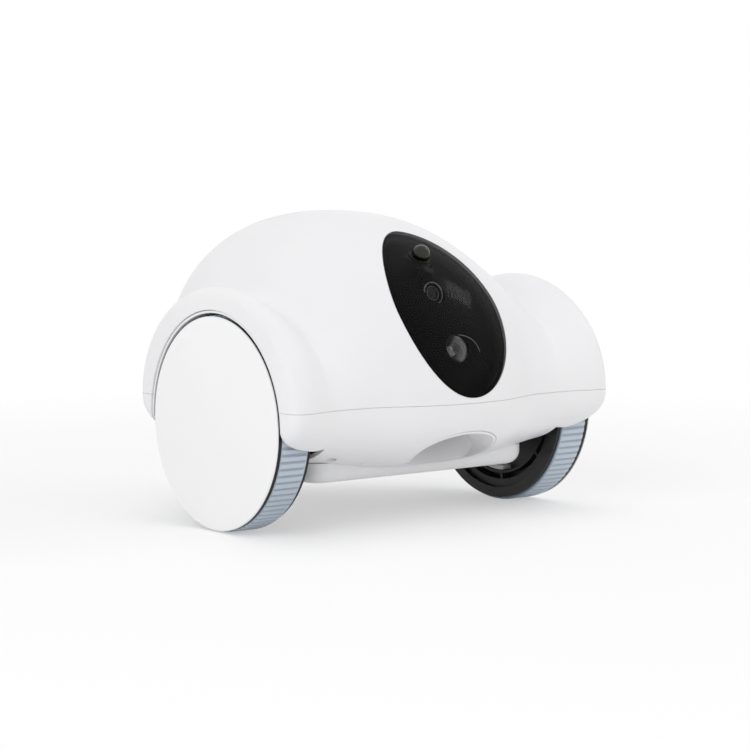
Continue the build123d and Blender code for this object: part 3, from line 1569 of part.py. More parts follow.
    keep(wheel_rim, "wheel_rim_" + name)

    with BuildPart() as hub_cap:
        with BuildSketch(Plane.XZ.offset(-axle_y)):
            with BuildLine():
                inner = side * (cap_face_x - cap_edge)
                edge = side * (cap_face_x - cap_corner)
                face = side * cap_face_x
                crown = side * (cap_face_x + cap_crown)
                Line((inner, axle_height), (inner, axle_height + cap_radius))
                Line((inner, axle_height + cap_radius), (edge, axle_height + cap_radius))
                Line((edge, axle_height + cap_radius), (face, axle_height + cap_radius - cap_corner))
                dish = cap_radius - cap_corner
                middle = (side * (cap_face_x + dome_sag(dish, cap_crown)), axle_height + dish / 2)
                ThreePointArc((face, axle_height + dish), middle, (crown, axle_height))
                Line((crown, axle_height), (inner, axle_height))
            make_face()
        revolve(axis=wheel_axis)
        cap_inner = side * (cap_face_x - cap_edge + tab_root)
        tab_inner = tab_radius - tab_wall
        for tab in arc_blocks(side * tab_end_x, cap_inner, tab_radius, tab_inner, tab_half_angle):
            add(tab)
        hook_start = side * (rim_web_x - hook_length - seat_gap)
        hook_end = side * (rim_web_x - seat_gap)
        hook_inner = tab_inner - hook_depth
        hook_outer = tab_radius - hook_root
        hook_half_angle = tab_half_angle - hook_side
        for hook in arc_blocks(hook_start, hook_end, hook_outer, hook_inner, hook_half_angle):
            add(hook)
    keep(hub_cap, "hub_cap_" + name)

    with BuildPart() as hub_screw:
        tip = side * (axle_outer_x - hub_screw_length + hub_screw_end_gap)
        add(bar_x(tip, side * hub_boss_outer_x, axle_y, axle_height, screw_radius))
        head_start = side * hub_boss_outer_x
        head_end = side * (hub_boss_outer_x + hub_screw_head_height)
        add(bar_x(head_start, head_end, axle_y, axle_height, hub_screw_head))
        socket_end = head_end - side * hub_socket_depth
        socket = bar_x(socket_end, head_end, axle_y, axle_height, hub_socket_radius)
        add(socket, mode=Mode.SUBTRACT)
    keep(hub_screw, "hub_screw_" + name)

    with BuildPart() as tyre:
        pitch = 2 * math.pi / rib_count
        crest = pitch * rib_crest_share / 2
        flank = crest + pitch * rib_flank_share
        crest_radius = wheel_radius / math.cos(crest)
        valley_radius = wheel_radius - tyre_valley_depth
        outline = []
        for rib in range(rib_count):
            middle = pitch * (rib + 0.5)
            for offset, radius in (
                (-flank, valley_radius),
                (-crest, crest_radius),
                (crest, crest_radius),
                (flank, valley_radius),
            ):
                outline.append((radius * math.cos(middle + offset), radius * math.sin(middle + offset)))
        with BuildSketch(Plane.YZ.offset(side * tyre_inner_x)):
            with BuildLine():
                Polyline(*[(axle_y + u, axle_height + v) for u, v in outline], close=True)
            make_face()
            with Locations((axle_y, axle_height)):
                Circle(tyre_seat_radius + seat_gap, mode=Mode.SUBTRACT)
        extrude(amount=side * (tyre_outer_x - tyre_inner_x))
    keep(tyre, "tyre_" + name)

with BuildPart() as axle_bushes:
    for bush in bushes:
        add(bush)
keep(axle_bushes, "axle_bushes")

with BuildPart() as gearbox_screws:
    for screw in case_screws:
        add(screw)
keep(gearbox_screws, "gearbox_screws")

# Rear castor: bush, fork, clip, axle and wheel
fork_top = fork_plate_low + fork_plate_wall
castor_axle_at = (axle_y + castor_y + castor_trail, castor_radius)
leg_inner = castor_width / 2 + castor_gap
leg_outer = leg_inner + fork_wall
with BuildPart() as castor_bush:
    bore = fork_stem_radius + running_gap
    flange_top = castor_boss_low - seat_gap
    flange_low = flange_top - castor_bush_flange
    add(bar_z(flange_low, flange_top, *castor_at, castor_bush_flange_radius, bore))
    sleeve_low = castor_boss_low - castor_bush_lap
    add(bar_z(sleeve_low, castor_boss_top + seat_gap, *castor_at, castor_bush_radius, bore))
keep(castor_bush, "castor_bush")

with BuildPart() as castor_fork:
    add(bar_z(fork_plate_low, fork_top, *castor_at, fork_plate_radius))
    add(bar_z(fork_top, fork_stem_top, *castor_at, fork_stem_radius))
    for side in (-1, 1):
        with BuildSketch(Plane.YZ.offset(side * leg_inner)):
            with BuildLine():
                top_y = axle_y + castor_y
                Polyline(
                    (top_y - fork_leg_radius, fork_plate_low + 1),
                    (castor_axle_at[0] - fork_leg_radius, castor_axle_at[1]),
                    (castor_axle_at[0] + fork_leg_radius, castor_axle_at[1]),
                    (top_y + fork_leg_rear, fork_plate_low + 1),
                    close=True,
                )
            make_face()
            with Locations(castor_axle_at):
                Circle(fork_leg_radius)
        extrude(amount=side * fork_wall)
    add(bar_x(-leg_outer, leg_outer, *castor_axle_at, castor_axle_radius + fit_gap), mode=Mode.SUBTRACT)
keep(castor_fork, "castor_fork")

with BuildPart() as castor_clip:
    low = castor_boss_top + seat_gap + clip_gap
    add(bar_z(low, low + fork_clip_wall, *castor_at, fork_clip_radius, fork_stem_radius + fit_gap))
keep(castor_clip, "castor_clip")

with BuildPart() as castor_axle:
    add(bar_x(-leg_outer, leg_outer, *castor_axle_at, castor_axle_radius))
    for side in (-1, 1):
        head = leg_outer + seat_gap / 2
        add(bar_x(side * head, side * (head + castor_head_wall), *castor_axle_at, castor_head_radius))
    reach = leg_outer + seat_gap
    add(bar_x(-reach, reach, *castor_axle_at, castor_axle_radius))
keep(castor_axle, "castor_axle")

with BuildPart() as castor_wheel:
    half = castor_width / 2
    with BuildSketch(Plane.XZ.offset(-castor_axle_at[0])):
        with BuildLine():
            z = castor_axle_at[1]
            bore = z + castor_axle_radius + fit_gap + running_gap
            side_z = z + castor_radius - castor_crown
            Line((-half, bore), (-half, side_z))
            ThreePointArc((-half, side_z), (0, z + castor_radius), (half, side_z))
            Line((half, side_z), (half, bore))
            Line((half, bore), (-half, bore))
        make_face()
    revolve(axis=Axis((0, *castor_axle_at), (1, 0, 0)))
keep(castor_wheel, "castor_wheel")
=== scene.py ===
import json
import math

import bpy
import bmesh
import numpy as np
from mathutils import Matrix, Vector


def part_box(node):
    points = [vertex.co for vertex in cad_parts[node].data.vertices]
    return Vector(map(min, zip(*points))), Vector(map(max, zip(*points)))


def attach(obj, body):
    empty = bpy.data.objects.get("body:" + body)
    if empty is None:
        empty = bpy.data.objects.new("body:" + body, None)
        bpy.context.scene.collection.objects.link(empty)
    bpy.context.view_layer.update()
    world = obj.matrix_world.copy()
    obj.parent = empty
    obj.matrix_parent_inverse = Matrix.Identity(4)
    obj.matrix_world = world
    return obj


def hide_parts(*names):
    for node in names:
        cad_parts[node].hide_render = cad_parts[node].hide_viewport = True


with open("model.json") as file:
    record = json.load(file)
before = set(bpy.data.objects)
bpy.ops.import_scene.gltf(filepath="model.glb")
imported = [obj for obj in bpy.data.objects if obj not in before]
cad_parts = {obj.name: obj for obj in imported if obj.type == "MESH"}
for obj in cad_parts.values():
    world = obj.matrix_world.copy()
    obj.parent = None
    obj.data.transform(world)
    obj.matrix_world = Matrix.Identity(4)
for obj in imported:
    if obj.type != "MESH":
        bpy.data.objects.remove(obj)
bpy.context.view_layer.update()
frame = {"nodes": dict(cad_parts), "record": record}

# Places that the solids give, in metres
AXLE = np.array((0.0, -0.0276201, 0.063))
# The camera and the lamp look this far up from level
TILT = math.radians(18)
EYE = np.array((0.0, -math.cos(TILT), math.sin(TILT)))
# The barrel runs this far behind the lens plane, and this far in front of it
BARREL_BEHIND = 0.013
BARREL_AHEAD = 0.0024
barrel_box = np.array([list(corner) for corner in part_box("camera_barrel")])
LENS = barrel_box.mean(axis=0) + EYE * (BARREL_BEHIND - BARREL_AHEAD) / 2
SIDES = (("left", 1), ("right", -1))
BODY_OF = {node: body for body, nodes in frame["record"]["behaviour"]["bodies"].items() for node in nodes}
SLOT_OF = {row["node"]: row["material_slot"] for row in frame["record"]["subparts"]}


# Materials
def plastic(name, colour, roughness, coat=0.0, metallic=0.0):
    """One finish with its shader's constants set on the shader's own sockets."""
    material = bpy.data.materials.new(name)
    material.use_nodes = True
    shader = material.node_tree.nodes["Principled BSDF"]
    shader.inputs["Base Color"].default_value = (*colour, 1)
    shader.inputs["Roughness"].default_value = roughness
    shader.inputs["Metallic"].default_value = metallic
    shader.inputs["Coat Weight"].default_value = coat
    shader.inputs["Coat Roughness"].default_value = 0.08
    return material


def node_of(material, kind, **settings):
    """New node of a material or world, with its settings and, by number or name, its input values."""
    node = material.node_tree.nodes.new(kind)
    for key, value in settings.items():
        if key == "inputs":
            for socket, constant in value.items():
                node.inputs[socket].default_value = constant
        else:
            setattr(node, key, value)
    return node


def join(material, *ends):
    """Links from, to, from, to."""
    for start, end in zip(ends[::2], ends[1::2]):
        material.node_tree.links.new(start, end)


def noise_of(material, scale, detail=3.0, stretch=(1, 1, 1)):
    """Noise on the piece's own coordinates, stretched along an axis where asked."""
    place = node_of(material, "ShaderNodeTexCoord")
    turn = node_of(material, "ShaderNodeMapping", inputs={"Scale": stretch})
    noise = node_of(material, "ShaderNodeTexNoise", inputs={"Scale": scale, "Detail": detail})
    join(material, place.outputs["Object"], turn.inputs["Vector"])
    join(material, turn.outputs["Vector"], noise.inputs["Vector"])
    return noise.outputs["Fac"]


def vary_colour(material, pattern, low, high, start=0.35, end=0.65):
    """Base colour runs from low to high as the pattern goes from start to end."""
    ramp = node_of(material, "ShaderNodeValToRGB")
    ramp.color_ramp.elements[0].position = start
    ramp.color_ramp.elements[0].color = (*low, 1)
    ramp.color_ramp.elements[1].position = end
    ramp.color_ramp.elements[1].color = (*high, 1)
    shader = material.node_tree.nodes["Principled BSDF"]
    join(material, pattern, ramp.inputs["Fac"], ramp.outputs["Color"], shader.inputs["Base Color"])


def vary_roughness(material, pattern, low, high):
    """Roughness runs between two values with the pattern."""
    spread = node_of(material, "ShaderNodeMapRange", inputs={"To Min": low, "To Max": high})
    shader = material.node_tree.nodes["Principled BSDF"]
    join(material, pattern, spread.inputs["Value"], spread.outputs["Result"], shader.inputs["Roughness"])


def raise_surface(material, pattern, height, strength=1.0):
    """Bump of a height in metres that follows the pattern."""
    bump = node_of(material, "ShaderNodeBump", inputs={"Distance": height, "Strength": strength})
    shader = material.node_tree.nodes["Principled BSDF"]
    join(material, pattern, bump.inputs["Height"], bump.outputs["Normal"], shader.inputs["Normal"])


def moulded(name, low, high, roughness, spread, grain_size, grain_height, coat=0.0):
    """Moulded plastic: faint cloudy colour, uneven gloss and a fine grain."""
    material = plastic(name, high, roughness, coat)
    cloud = noise_of(material, 9.0)
    vary_colour(material, cloud, low, high)
    vary_roughness(material, noise_of(material, 60.0), roughness - spread, roughness + spread)
    raise_surface(material, noise_of(material, 1.0 / grain_size), grain_height, 0.35)
    return material


def turned_metal(name, low, high, roughness, stretch):
    """Metal with fine lines across the stretched axis."""
    material = plastic(name, high, roughness, metallic=1.0)
    lines = noise_of(material, 400.0, 4.0, stretch)
    vary_colour(material, lines, low, high)
    vary_roughness(material, lines, roughness - 0.06, roughness + 0.1)
    raise_surface(material, lines, 0.00002, 0.4)
    return material


def soften_edges(material, radius):
    """Sharp edges catch the light as if rounded by a small radius."""
    shader = material.node_tree.nodes["Principled BSDF"]
    bump = shader.inputs["Normal"].links[0].from_node
    rounded = node_of(material, "ShaderNodeBevel", samples=4, inputs={"Radius": radius})
    join(material, rounded.outputs["Normal"], bump.inputs["Normal"])


def paint_shade_low(material, low_radius, high_radius, dark):
    """Painted shade: colour falls to a share of itself where the skin lies nearer to the wheel axle,
    darkening the tyre's grooves.
    """
    shader = material.node_tree.nodes["Principled BSDF"]
    colour = shader.inputs["Base Color"].links[0].from_socket
    place = node_of(material, "ShaderNodeTexCoord")
    centred = node_of(material, "ShaderNodeVectorMath", operation="SUBTRACT", inputs={1: tuple(AXLE)})
    flat = node_of(material, "ShaderNodeVectorMath", operation="MULTIPLY", inputs={1: (0, 1, 1)})
    reach = node_of(material, "ShaderNodeVectorMath", operation="LENGTH")
    share = node_of(
        material,
        "ShaderNodeMapRange",
        inputs={"From Min": low_radius, "From Max": high_radius, "To Min": dark, "To Max": 1.0},
    )
    scaled = node_of(material, "ShaderNodeVectorMath", operation="SCALE")
    join(material, place.outputs["Object"], centred.inputs[0], centred.outputs[0], flat.inputs[0])
    join(material, flat.outputs[0], reach.inputs[0], reach.outputs["Value"], share.inputs["Value"])
    join(material, colour, scaled.inputs[0], share.outputs["Result"], scaled.inputs["Scale"])
    join(material, scaled.outputs[0], shader.inputs["Base Color"])


white = moulded("shell_white", (0.80, 0.80, 0.815), (0.83, 0.83, 0.84), 0.34, 0.05, 0.0012, 0.00002)
# The wheel discs' matt white is partly their own colour and partly painted light: it is set lighter than the
# shell's white so the discs look more strongly lit
disc_white = moulded("disc_white", (0.87, 0.87, 0.875), (0.89, 0.89, 0.895), 0.42, 0.05, 0.0009, 0.00002)
black = moulded("fascia_black", (0.006, 0.006, 0.006), (0.011, 0.010, 0.010), 0.45, 0.08, 0.0006, 0.00004)
rim_black = moulded("rim_black", (0.012, 0.012, 0.013), (0.022, 0.022, 0.023), 0.38, 0.08, 0.0008, 0.00004)
well_black = moulded("well_black", (0.02, 0.02, 0.021), (0.03, 0.03, 0.031), 0.55, 0.08, 0.0008, 0.00005)
tyre_grey = moulded("tyre_grey", (0.47, 0.54, 0.62), (0.53, 0.60, 0.68), 0.52, 0.08, 0.0007, 0.00004)
pale = moulded("inner_pale", (0.62, 0.62, 0.60), (0.70, 0.70, 0.68), 0.48, 0.06, 0.001, 0.00004)
castor_dark = moulded("castor_dark", (0.03, 0.03, 0.032), (0.05, 0.05, 0.052), 0.5, 0.08, 0.0006, 0.00004)
button_white = moulded("button_white", (0.74, 0.74, 0.75), (0.80, 0.80, 0.81), 0.4, 0.05, 0.0006, 0.00003)
# Painted shade in the grooves: the tyre's colour falls from the ribs' crests to this share of itself in the
# grooves
GROOVE_RADIUS, RIB_RADIUS, GROOVE_SHADE = 0.0620, 0.0629, 0.68
paint_shade_low(tyre_grey, GROOVE_RADIUS, RIB_RADIUS, GROOVE_SHADE)
for finish, radius in ((white, 0.0007), (disc_white, 0.0004), (rim_black, 0.0004), (pale, 0.0004)):
    soften_edges(finish, radius)
for finish, shine in ((white, 0.3), (disc_white, 0.3), (black, 0.15), (rim_black, 0.3), (well_black, 0.2)):
    finish.node_tree.nodes["Principled BSDF"].inputs["Specular IOR Level"].default_value = shine
ring_satin = moulded("ring_satin", (0.62, 0.62, 0.64), (0.74, 0.74, 0.76), 0.35, 0.06, 0.0005, 0.00002)
steel = turned_metal("bright_steel", (0.55, 0.55, 0.57), (0.72, 0.72, 0.74), 0.26, (1, 8, 8))
can_steel = turned_metal("can_steel", (0.45, 0.45, 0.46), (0.62, 0.62, 0.63), 0.34, (8, 1, 1))
brass = turned_metal("bearing_brass", (0.62, 0.42, 0.16), (0.80, 0.60, 0.28), 0.28, (1, 8, 8))


def smoked_panel():
    """Smoked clear plastic: dark skin that lets part of the light through, with a clean gloss."""
    material = plastic("visor_smoke", (0.006, 0.005, 0.005), 0.04)
    vary_roughness(material, noise_of(material, 25.0), 0.05, 0.08)
    vary_colour(material, noise_of(material, 6.0), (0.0018, 0.0014, 0.0014), (0.003, 0.0024, 0.0024))
    shader = material.node_tree.nodes["Principled BSDF"]
    shader.inputs["Specular IOR Level"].default_value = 0.1
    shader.inputs["Alpha"].default_value = 0.38
    return material


def clear_glass(name, colour, roughness, tint_low, tint_high):
    """Coated glass: its tint drifts a little over the face."""
    material = plastic(name, colour, roughness)
    shader = material.node_tree.nodes["Principled BSDF"]
    shader.inputs["Transmission Weight"].default_value = 0.85
    shader.inputs["IOR"].default_value = 1.5
    vary_colour(material, noise_of(material, 120.0), tint_low, tint_high)
    raise_surface(material, noise_of(material, 300.0), 0.00001, 0.2)
    return material


# Painted shade and highlight across the lamp's dish: its colour runs from dark to bright between these two x
DISH_PAINTED_SHADE_X, DISH_PAINTED_HIGHLIGHT_X = -0.001, 0.003


def chrome_dish():
    """Bright plated dish with tiny facets, with painted shade on its left side and a painted highlight on
    its right.
    """
    material = plastic("lamp_chrome", (0.86, 0.86, 0.87), 0.16, metallic=0.7)
    place = node_of(material, "ShaderNodeTexCoord")
    cells = node_of(material, "ShaderNodeTexVoronoi", inputs={"Scale": 900.0})
    join(material, place.outputs["Object"], cells.inputs["Vector"])
    raise_surface(material, cells.outputs["Distance"], 0.0004, 0.6)
    split = node_of(material, "ShaderNodeSeparateXYZ")
    side = node_of(
        material,
        "ShaderNodeMapRange",
        interpolation_type="SMOOTHSTEP",
        inputs={"From Min": DISH_PAINTED_SHADE_X, "From Max": DISH_PAINTED_HIGHLIGHT_X},
    )
    join(material, place.outputs["Object"], split.inputs["Vector"], split.outputs["X"], side.inputs["Value"])
    # Painted light: dark shade on the dish's left, a bright painted highlight on its right
    vary_colour(material, side.outputs["Result"], (0.10, 0.10, 0.11), (0.95, 0.95, 0.96), 0.0, 1.0)
    return material


def board_finish(name, low, high, track):
    """Circuit board: coloured mask with brighter tracks in straight cells."""
    material = plastic(name, high, 0.35, coat=0.3)
    place = node_of(material, "ShaderNodeTexCoord")
    tracks = node_of(material, "ShaderNodeTexBrick", offset=0.37, squash=0.6)
    sizes = (("Scale", 260.0), ("Mortar Size", 0.05), ("Row Height", 0.32), ("Brick Width", 0.9))
    for socket, constant in sizes:
        tracks.inputs[socket].default_value = constant
    tracks.inputs["Color1"].default_value = (*low, 1)
    tracks.inputs["Color2"].default_value = (*high, 1)
    tracks.inputs["Mortar"].default_value = (*track, 1)
    shader = material.node_tree.nodes["Principled BSDF"]
    join(material, place.outputs["Object"], tracks.inputs["Vector"])
    join(material, tracks.outputs["Color"], shader.inputs["Base Color"])
    raise_surface(material, tracks.outputs["Fac"], 0.00003, 0.5)
    return material


def wrap_finish():
    """Battery wrap: blue film with faint creases."""
    material = plastic("battery_wrap", (0.03, 0.10, 0.32), 0.32, coat=0.4)
    creases = noise_of(material, 45.0, 5.0, (1, 4, 1))
    vary_colour(material, creases, (0.025, 0.08, 0.27), (0.04, 0.12, 0.36))
    raise_surface(material, creases, 0.0003, 0.5)
    return material


def amber_dome():
    """Translucent olive lens over the motion sensor, with fine moulded rings."""
    material = plastic("sensor_amber", (0.012, 0.011, 0.006), 0.12)
    shader = material.node_tree.nodes["Principled BSDF"]
    shader.inputs["Specular IOR Level"].default_value = 0.4
    place = node_of(material, "ShaderNodeTexCoord")
    cells = node_of(material, "ShaderNodeTexVoronoi", inputs={"Scale": 700.0})
    join(material, place.outputs["Object"], cells.inputs["Vector"])
    raise_surface(material, cells.outputs["Distance"], 0.0002, 0.25)
    vary_colour(material, noise_of(material, 90.0), (0.008, 0.0075, 0.004), (0.018, 0.016, 0.008))
    return material


smoke = smoked_panel()
lens_glass = clear_glass("lens_glass", (0.35, 0.27, 0.25), 0.03, (0.30, 0.22, 0.20), (0.42, 0.34, 0.34))
lamp_clear = clear_glass("lamp_clear", (0.95, 0.95, 0.92), 0.06, (0.90, 0.90, 0.86), (0.98, 0.98, 0.95))
lamp_chrome = chrome_dish()
board_green = board_finish("board_green", (0.012, 0.10, 0.04), (0.016, 0.13, 0.05), (0.05, 0.24, 0.10))
board_black = board_finish("board_black", (0.008, 0.008, 0.009), (0.012, 0.012, 0.013), (0.03, 0.03, 0.032))
battery_wrap = wrap_finish()
sensor_amber = amber_dome()

FINISH = {
    "body_white": white,
    "visor_smoke": smoke,
    "dark_plastic": black,
    "tyre_rubber": tyre_grey,
    "pale_plastic": pale,
    "lens_glass": lens_glass,
    "lamp_chrome": lamp_chrome,
    "lamp_clear": lamp_clear,
    "sensor_amber": sensor_amber,
    "board_green": board_green,
    "battery_wrap": battery_wrap,
    "motor_steel": can_steel,
    "bright_steel": steel,
    "bearing_brass": brass,
    "speaker_black": castor_dark,
}
SPECIAL = {
    "hub_cap_left": disc_white,
    "hub_cap_right": disc_white,
    "wheel_rim_left": rim_black,
    "wheel_rim_right": rim_black,
    "wheel_well_left": well_black,
    "wheel_well_right": well_black,
    "castor_fork": castor_dark,
    "castor_wheel": castor_dark,
    "microphone": castor_dark,
    "sensor_board": board_black,
    "camera_board": board_black,
    "treat_chute": white,
    "power_button": button_white,
}


def finish_of(node):
    """The material that a node's pieces take."""
    return SPECIAL.get(node, FINISH[SLOT_OF[node]])


# Meshes
def settle(piece, node, material=None):
    """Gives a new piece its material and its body."""
    piece.data.materials.clear()
    piece.data.materials.append(material or finish_of(node))
    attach(piece, BODY_OF[node])
    return piece


def smooth_copy(node, name, angle=32.0):
    """Smooth copy of a solid: its corners are merged, and edges sharper than the angle stay sharp."""
    mesh = frame["nodes"][node].data.copy()
    work = bmesh.new()
    work.from_mesh(mesh)
    bmesh.ops.remove_doubles(work, verts=work.verts, dist=1e-6)
    work.to_mesh(mesh)
    work.free()
    if mesh.has_custom_normals:
        mesh.attributes.remove(mesh.attributes["custom_normal"])
    mesh.polygons.foreach_set("use_smooth", np.ones(len(mesh.polygons), dtype=bool))
    mesh.set_sharp_from_angle(angle=math.radians(angle))
    mesh.name = name
    piece = bpy.data.objects.new(name, mesh)
    bpy.context.scene.collection.objects.link(piece)
    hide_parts(node)
    return settle(piece, node)


def grid_mesh(name, points, close_u=False, close_v=False):
    """Mesh over a grid of points, rows by columns, with its open ends joined where asked."""
    rows, columns = points.shape[:2]
    row = np.arange(rows if close_u else rows - 1)
    column = np.arange(columns if close_v else columns - 1)
    r, c = np.meshgrid(row, column, indexing="ij")
    r_next, c_next = (r + 1) % rows, (c + 1) % columns
    corners = (r * columns + c, r * columns + c_next, r_next * columns + c_next, r_next * columns + c)
    faces = np.stack(corners, axis=-1).reshape(-1, 4)
    mesh = bpy.data.meshes.new(name)
    mesh.from_pydata(points.reshape(-1, 3).tolist(), [], faces.tolist())
    work = bmesh.new()
    work.from_mesh(mesh)
    bmesh.ops.remove_doubles(work, verts=work.verts, dist=1e-7)
    bmesh.ops.recalc_face_normals(work, faces=work.faces)
    work.to_mesh(mesh)
    work.free()
    mesh.polygons.foreach_set("use_smooth", np.ones(len(mesh.polygons), dtype=bool))
    mesh.set_sharp_from_angle(angle=math.radians(35))
    piece = bpy.data.objects.new(name, mesh)
    bpy.context.scene.collection.objects.link(piece)
    return piece


def about_axle(x, radius, angle):
    """Points at distance x along the wheel axle, at a radius and a turn about it."""
    return np.stack((x, AXLE[1] + radius * np.cos(angle), AXLE[2] + radius * np.sin(angle)), axis=-1)


def ring_about(centre, direction, profile, steps=96):
    """Closed ring: the profile's points (height, radius) carried once round a line through centre."""
    direction = np.array(direction) / np.linalg.norm(direction)
    across = np.array((1.0, 0.0, 0.0))
    upward = np.cross(direction, across)
    angle = np.linspace(0, 2 * np.pi, steps, endpoint=False)[:, None, None]
    height, radius = np.array(profile, dtype=float).T
    spoke = np.cos(angle) * across + np.sin(angle) * upward
    return np.array(centre) + height[None, :, None] * direction + radius[None, :, None] * spoke


def round_profile(points, radius, steps=4):
    """Closed outline whose corners are rounded: each corner becomes a short quadratic curve."""
    points = np.array(points, dtype=float)
    out = []
    for before, here, after in zip(np.roll(points, 1, 0), points, np.roll(points, -1, 0)):
        start = here + (before - here) * min(0.45, radius / np.linalg.norm(before - here))
        end = here + (after - here) * min(0.45, radius / np.linalg.norm(after - here))
        t = np.linspace(0, 1, steps + 1)[:, None]
        out.append((1 - t) ** 2 * start + 2 * t * (1 - t) * here + t**2 * end)
    return np.concatenate(out)


# Shells and other moulded pieces that keep the solid's shape, with smooth faces
for node in (
    "upper_shell",
    "lower_shell",
    "visor",
    "fascia",
    "treat_lid",
    "treat_chute",
    "belly_cover",
    "power_button",
    "wheel_well_left",
    "wheel_well_right",
    "wheel_rim_left",
    "wheel_rim_right",
    "castor_fork",
    "castor_wheel",
    "sensor_dome",
    "camera_barrel",
    "camera_lens",
    "lamp_reflector",
    "lamp_lens",
):
    smooth_copy(node, node + "_skin")


# Wheel wells: black floor, and white where a face lies beyond the radius or inboard of the x
GUARD_RADIUS = 0.0636
GUARD_X = 0.08605
for name, side in SIDES:
    cup = bpy.data.objects["wheel_well_" + name + "_skin"].data
    cup.materials.append(white)
    middles = np.empty(3 * len(cup.polygons))
    cup.polygons.foreach_get("center", middles)
    x, y, z = middles.reshape(-1, 3).T
    outside = (np.hypot(y - AXLE[1], z - AXLE[2]) > GUARD_RADIUS) | (np.abs(x) < GUARD_X)
    cup.polygons.foreach_set("material_index", outside.astype(np.int32))

# Seam: the lower shell's top rim is raised to lie close under the upper shell
SEAM_LOW, SEAM_CLOSE, SEAM_REACH = 0.0745, 0.07493, 0.00005
bowl = bpy.data.objects["lower_shell_skin"].data
corners = np.empty(3 * len(bowl.vertices))
bowl.vertices.foreach_get("co", corners)
corners = corners.reshape(-1, 3)
corners[np.abs(corners[:, 2] - SEAM_LOW) < SEAM_REACH, 2] = SEAM_CLOSE
bowl.vertices.foreach_set("co", corners.ravel())
bowl.update()


# Tyres: rounded ribs across a band with soft shoulders
RIBS = 90
RIB_DEPTH = 0.0009
CREST_RADIUS = 0.063
TYRE_INNER, TYRE_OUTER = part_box("tyre_left")[0][0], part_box("tyre_left")[1][0]
STEPS_A_RIB = 12
# Share of a rib's pitch at which the groove starts, and over which it reaches its depth
GROOVE_START, GROOVE_RISE = 0.26, 0.12
# Across the band: place from its inner to its outer side, radius there, and share of the groove's depth
BAND_ACROSS = np.array((0.0, 0.0, 0.02, 0.08, 0.2, 0.5, 0.8, 0.92, 0.98, 1.0, 1.0, 0.0))
BORE, SHOULDER, ROLL = 0.0571, 0.0622, 0.0627
BAND_RADIUS = np.array((BORE, SHOULDER, ROLL, *(CREST_RADIUS,) * 5, ROLL, SHOULDER, BORE, BORE))
BAND_GROOVED = np.array((0, 0, 0.3, 1, 1, 1, 1, 1, 1, 1, 0, 0))


def tyre_surface(side):
    """Radius = crest - depth * groove(turn) * flat(across): the groove is a rounded notch between
    ribs, and it runs out into the two shoulders, whose corners follow a quarter circle."""
    steps = RIBS * STEPS_A_RIB
    turn = np.linspace(0, 2 * np.pi, steps, endpoint=False)[:, None]
    phase = (turn * RIBS / (2 * np.pi)) % 1.0
    groove = np.clip((np.abs(phase - 0.5) - GROOVE_START) / GROOVE_RISE, 0, 1)
    groove = groove * groove * (3 - 2 * groove)
    across = BAND_ACROSS[None, :]
    shape = np.minimum(BAND_RADIUS[None, :], CREST_RADIUS - RIB_DEPTH * groove * BAND_GROOVED[None, :])
    x = side * (TYRE_INNER + (TYRE_OUTER - TYRE_INNER) * across) + 0 * turn
    return about_axle(x, shape + 0 * turn, turn + 0 * across)


for name, side in SIDES:
    band = grid_mesh("tyre_band_" + name, tyre_surface(side), close_u=True, close_v=True)
    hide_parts("tyre_" + name)
    settle(band, "tyre_" + name)


# Wheel discs: shallow domed face with a rounded edge, and the snap tabs behind it
for name, side in SIDES:
    smooth_copy("hub_cap_" + name, "wheel_disc_" + name)

# Everything else keeps its solid and takes its finish
for node, thing in frame["nodes"].items():
    thing.data.materials.clear()
    thing.data.materials.append(finish_of(node))


# Camera trim: thin bright rings in front of the barrel
def trim_ring(name, centre, height, inner, outer, thickness, node, material):
    """Thin flat ring with rounded corners, square to the eye's line."""
    top = height + thickness
    profile = round_profile(((height, inner), (top, inner), (top, outer), (height, outer)), thickness * 0.4)
    return settle(grid_mesh(name, ring_about(centre, EYE, profile), True, True), node, material)


trim_ring("lens_trim_outer", LENS, 0.0024, 0.0063, 0.0070, 0.0004, "camera_barrel", ring_satin)
trim_ring("lens_trim_inner", LENS, 0.0019, 0.0040, 0.0043, 0.0003, "camera_barrel", steel)


def turned_piece(name, centre, profile, node, material, steps=72):
    """Solid of revolution: its profile of (height, radius) points is carried once round the eye's line."""
    return settle(grid_mesh(name, ring_about(centre, EYE, profile, steps), True, True), node, material)


# Stepped baffle in front of the glass: four steps from its top and its widest radius
BAFFLE_TOP, BAFFLE_FOOT, BAFFLE_WALL = 0.0023, 0.0007, 0.00565
BAFFLE_WIDE, BAFFLE_STEP_DOWN, BAFFLE_STEP_IN = 0.0056, 0.0004, 0.0003
baffle = []
for step in range(4):
    top, radius = BAFFLE_TOP - BAFFLE_STEP_DOWN * step, BAFFLE_WIDE - BAFFLE_STEP_IN * step
    baffle += [(top, radius), (top - BAFFLE_STEP_DOWN, radius)]
baffle += [(BAFFLE_FOOT, BAFFLE_WALL), (BAFFLE_TOP, BAFFLE_WALL)]
turned_piece("lens_baffle", LENS, baffle, "camera_barrel", black)

# Small domed inner element, and the bright iris behind it
ELEMENT_RADIUS, ELEMENT_RISE, ELEMENT_RIM, ELEMENT_BACK = 0.0028, 0.0016, -0.0042, -0.0048
bulge = np.linspace(0, math.pi / 2, 10)
inner_element = [(ELEMENT_RIM + ELEMENT_RISE * math.sin(a), ELEMENT_RADIUS * math.cos(a)) for a in bulge]
inner_element += [(ELEMENT_BACK, 0.0), (ELEMENT_BACK, ELEMENT_RADIUS)]
turned_piece("lens_inner_element", LENS, inner_element, "camera_lens", lens_glass)
IRIS_FRONT, IRIS_BACK, IRIS_HOLE, IRIS_OUTER = -0.0049, -0.0052, 0.0012, 0.0055
turned_piece(
    "lens_iris",
    LENS,
    ((IRIS_FRONT, IRIS_HOLE), (IRIS_FRONT, IRIS_OUTER), (IRIS_BACK, IRIS_OUTER), (IRIS_BACK, IRIS_HOLE)),
    "camera_barrel",
    steel,
)
